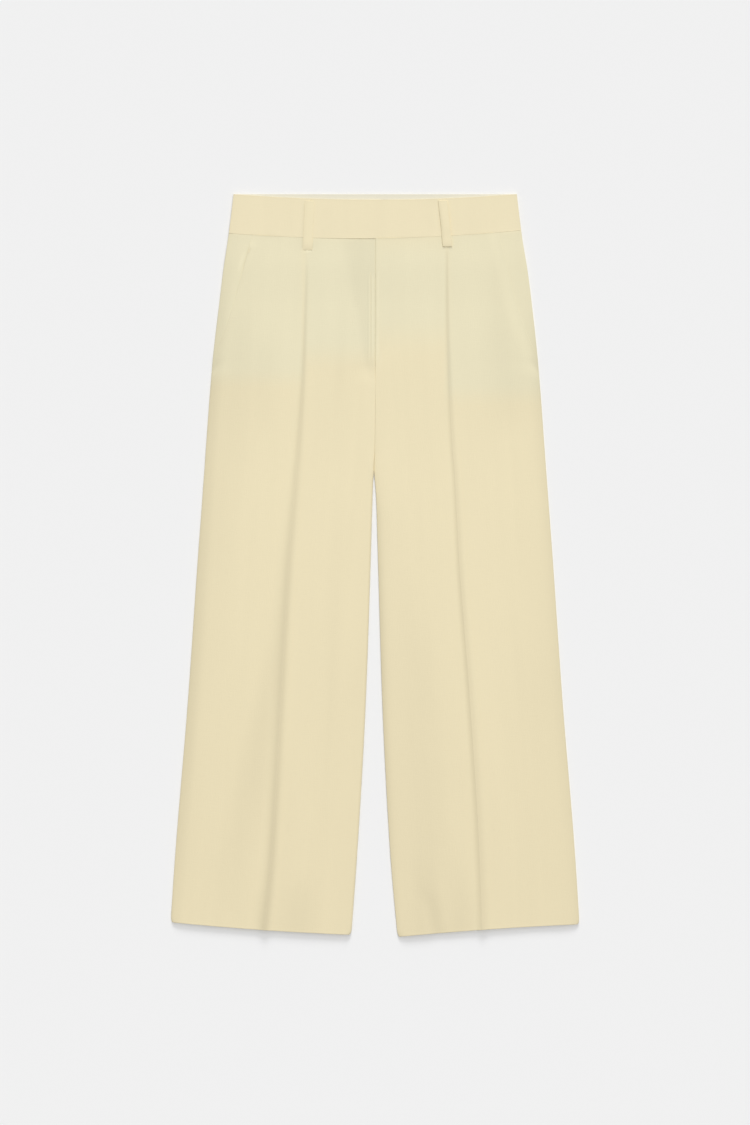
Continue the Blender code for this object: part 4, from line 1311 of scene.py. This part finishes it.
def weave_tape():
    rows = spread_rows(ZIP_FOOT_Y, ZIP_TOP_Y, ROW_SPACING, EDGE_STEPS[:5])
    x = ZIP_FROM_X + np.broadcast_to(TAPE_GRID, (len(rows), len(TAPE_GRID)))
    y = np.broadcast_to(rows[:, None], x.shape)
    middle = np.broadcast_to(on_back(rows)[:, None] + TAPE_GAP + TAPE_WALL / 2, x.shape)
    rim = rim_of(x, rows, TAPE_RIM, TAPE_RIM, TAPE_RIM, TAPE_RIM)
    return shell("fly_zip_tape", x, y, middle, TAPE_WALL, rim, (x, y), [ZIP_TAPE])


def wind_coil():
    x = (ZIP_FROM_X + ZIP_TO_X) / 2
    turns = [(x, y, float(on_back(y)) + TAPE_GAP + TAPE_WALL + COIL_LIFT)
             for y in np.arange(ZIP_FOOT_Y + COIL_FOOT, ZIP_TOP_Y - COIL_TOP, COIL_PITCH)]
    return beads("fly_zip_coil", turns, COIL_WIDTH, COIL_THICK, COIL_LEAN, NYLON_COIL)


zip_piece = weave_tape()
coil = wind_coil()

# %% [markdown]
# ## Stitches
#
# From a metre away most stitches on such trousers are unseen. A row of edge stitching
# runs beside the fly lap and leaves a fine groove, and a short bar tack in matching thread
# closes the left pocket's edge at its top. Each stitch is a rod that lies half in the cloth.

# %% Sew the stitches
STITCH_LENGTH, STITCH_THICK, STITCH_PITCH, STITCH_LIFT = 2.0, 0.32, 2.6, 0.02
FLY_STITCH_X, FLY_STITCH_FROM, FLY_STITCH_TO = -5.3, 256.0, 366.0
TACK_Y, TACK_HALF, TACK_PITCH, TACK_THICK, TACK_OUT = 391.0, 3.0, 0.5, 0.24, 1.6


def on_panel(leg, x, row_y, y):
    """A stitch's centre at x and y, on the upper face of a front panel's row."""
    rows, at = np.array([row_y]), np.array([x])
    edges, bent = front_edges(leg, rows), bent_y(rows, at)
    lift, bead = front_form(leg, edges, at, bent)[0], front_details(leg, edges, at, bent)[0]
    top = on_back(rows) + lift + bead + front_wall(leg, edges, at)
    return x, y, float(top[0]) + STITCH_LIFT


def tack_stitch(row_y):
    x = LEFT * (float(pocket_edge_x(LEFT, row_y)) - TACK_OUT)
    return on_panel(LEFT, x, row_y, float(bent_y(row_y, x)))


zip_stitches = beads("fly_edge_stitches",
                     [on_panel(LEFT, FLY_STITCH_X, y, y)
                      for y in np.arange(FLY_STITCH_FROM, FLY_STITCH_TO, STITCH_PITCH)],
                     STITCH_LENGTH, STITCH_THICK, 90.0, THREAD_FINISH)
tack_rows = TACK_Y + np.arange(-TACK_HALF, TACK_HALF + 0.01, TACK_PITCH)
tack = beads("pocket_tack_left", [tack_stitch(y) for y in tack_rows], STITCH_LENGTH, TACK_THICK,
             0.0, TACK_FINISH)

# %% [markdown]
# ## Tie the pieces to the model
#
# Every piece rides on the one rigid body, and each one but the zip coil and the stitches
# stands for its coarse solid. The flat areas of the four leg panels are printed: the finished
# panels without turnings, measured along their seam lines.


def leg_area(leg, front):
    """Flat area of a panel between its seam lines, in square metres."""
    rows = np.linspace(HEM_ROW, WAIST_ROW, 400)
    edges = front_edges(leg, rows)
    outer = np.abs(edges.outer) if front else bent_side(leg, rows)
    inner = leg * (edges.inner if front else bent_inner(leg, rows))
    width = outer - inner
    return float(np.sum(0.5 * (width[1:] + width[:-1]) * np.diff(rows))) * MM * MM


def settle(piece, node_name):
    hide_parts(node_name)
    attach(piece, "root")


for piece, node_name, leg, front, below in (
        (back_left, "back_leg_left", LEFT, False, "belt_loop_back_left"),
        (back_right, "back_leg_right", RIGHT, False, "belt_loop_back_right"),
        (front_left, "front_leg_left", LEFT, True, "back_leg_left"),
        (front_right, "front_leg_right", RIGHT, True, "back_leg_right")):
    area = leg_area(leg, front)
    print(node_name, "flat area", round(area, 4), "square metres")
    settle(piece, node_name)

settle(pocket_left, "pocket_side_left")
settle(pocket_right, "pocket_side_right")
settle(band_back, "waistband_back")
settle(band_left, "waistband_front_left")
settle(band_right, "waistband_front_right")
settle(zip_piece, "fly_zip")
for piece, loop in zip(loops, FRONT_LOOPS + BACK_LOOPS):
    settle(piece, loop.name)
for piece, slot in ((coil, "zip_tape"), (zip_stitches, "suiting"), (tack, "suiting")):
    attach(piece, "root")

# %% [markdown]
# ## Floor, light and camera
#
# Catalogue pictures of laid clothes are taken straight down over a pale sweep. One broad, low
# light beyond the waist draws a soft shadow under the hems and lights every edge that faces
# it. A higher one, one overhead and an even dome fill the rest, so that creases show as soft
# dark lines, deepened by painted shade along them. A sun with a wide angle is equally soft all
# over, as a lamp close by never is.

# %% Floor
FLOOR_HALF, FLOOR_DROP = 20.0, 0.1 * MM
sweep_paper, _ = finish_named("matte_sweep_paper", Base_Color=linear("f3f3f3") + [1.0],
                              Roughness=1.0, Specular_IOR_Level=0.0)
floor = add_piece("floor", [(x * FLOOR_HALF, y * FLOOR_HALF, -FLOOR_DROP)
                            for x, y in ((-1, -1), (1, -1), (1, 1), (-1, 1))],
                  [(0, 1, 2, 3)], [sweep_paper])
print("floor", 2 * FLOOR_HALF, "m square,", sweep_paper.name)

# %% Lights
DOME_STRENGTH = 0.322


def soft_sun(name, toward_x, toward_y, elevation, width, strength):
    """A sun that shines from a direction over the floor; width is its size in degrees."""
    light = bpy.data.lights.new(name, "SUN")
    light.energy = strength
    light.angle = math.radians(width)
    lamp = bpy.data.objects.new(name, light)
    turn = math.atan2(toward_y, toward_x)
    lamp.rotation_euler = (0.0, math.radians(90.0 - elevation), turn)
    bpy.context.scene.collection.objects.link(lamp)
    print(f"{name}: elevation {elevation} degrees, {width} degrees wide")


soft_sun("light_beyond_waist_low", 0.0, 1.0, 22.5, 21.0, 1.75)
soft_sun("light_beyond_waist_high", 0.0, 1.0, 50.0, 28.0, 0.42)
soft_sun("light_overhead", 1.0, 0.0, 76.5, 40.0, 1.10)
world = bpy.data.worlds.new("even_dome")
world.use_nodes = True
dome = world.node_tree.nodes["Background"]
dome.inputs["Color"].default_value = (1.0, 1.0, 1.0, 1.0)
dome.inputs["Strength"].default_value = DOME_STRENGTH
bpy.context.scene.world = world

# %% Camera
VIEW_WIDTH, VIEW_SHARE = 937.5 * MM, 1125 / 750    # width in view, and height by width
VIEW_AT = 4.0 * MM         # height over the floor at which the view is that wide
SENSOR, LENS = 36.0, 100.0
EYE_X, EYE_Y = -0.25 * MM, 3.75 * MM
lens = bpy.data.cameras.new("camera")
lens.type = "PERSP"
lens.sensor_width = SENSOR
lens.lens = LENS
lens.clip_end = 50.0
camera = bpy.data.objects.new("camera", lens)
camera.location = (EYE_X, EYE_Y, VIEW_WIDTH * VIEW_SHARE * LENS / SENSOR + VIEW_AT)
bpy.context.scene.collection.objects.link(camera)
bpy.context.scene.camera = camera
bpy.context.scene.view_settings.view_transform = "Standard"
print("camera", round(camera.location.z, 3), "m over the floor")
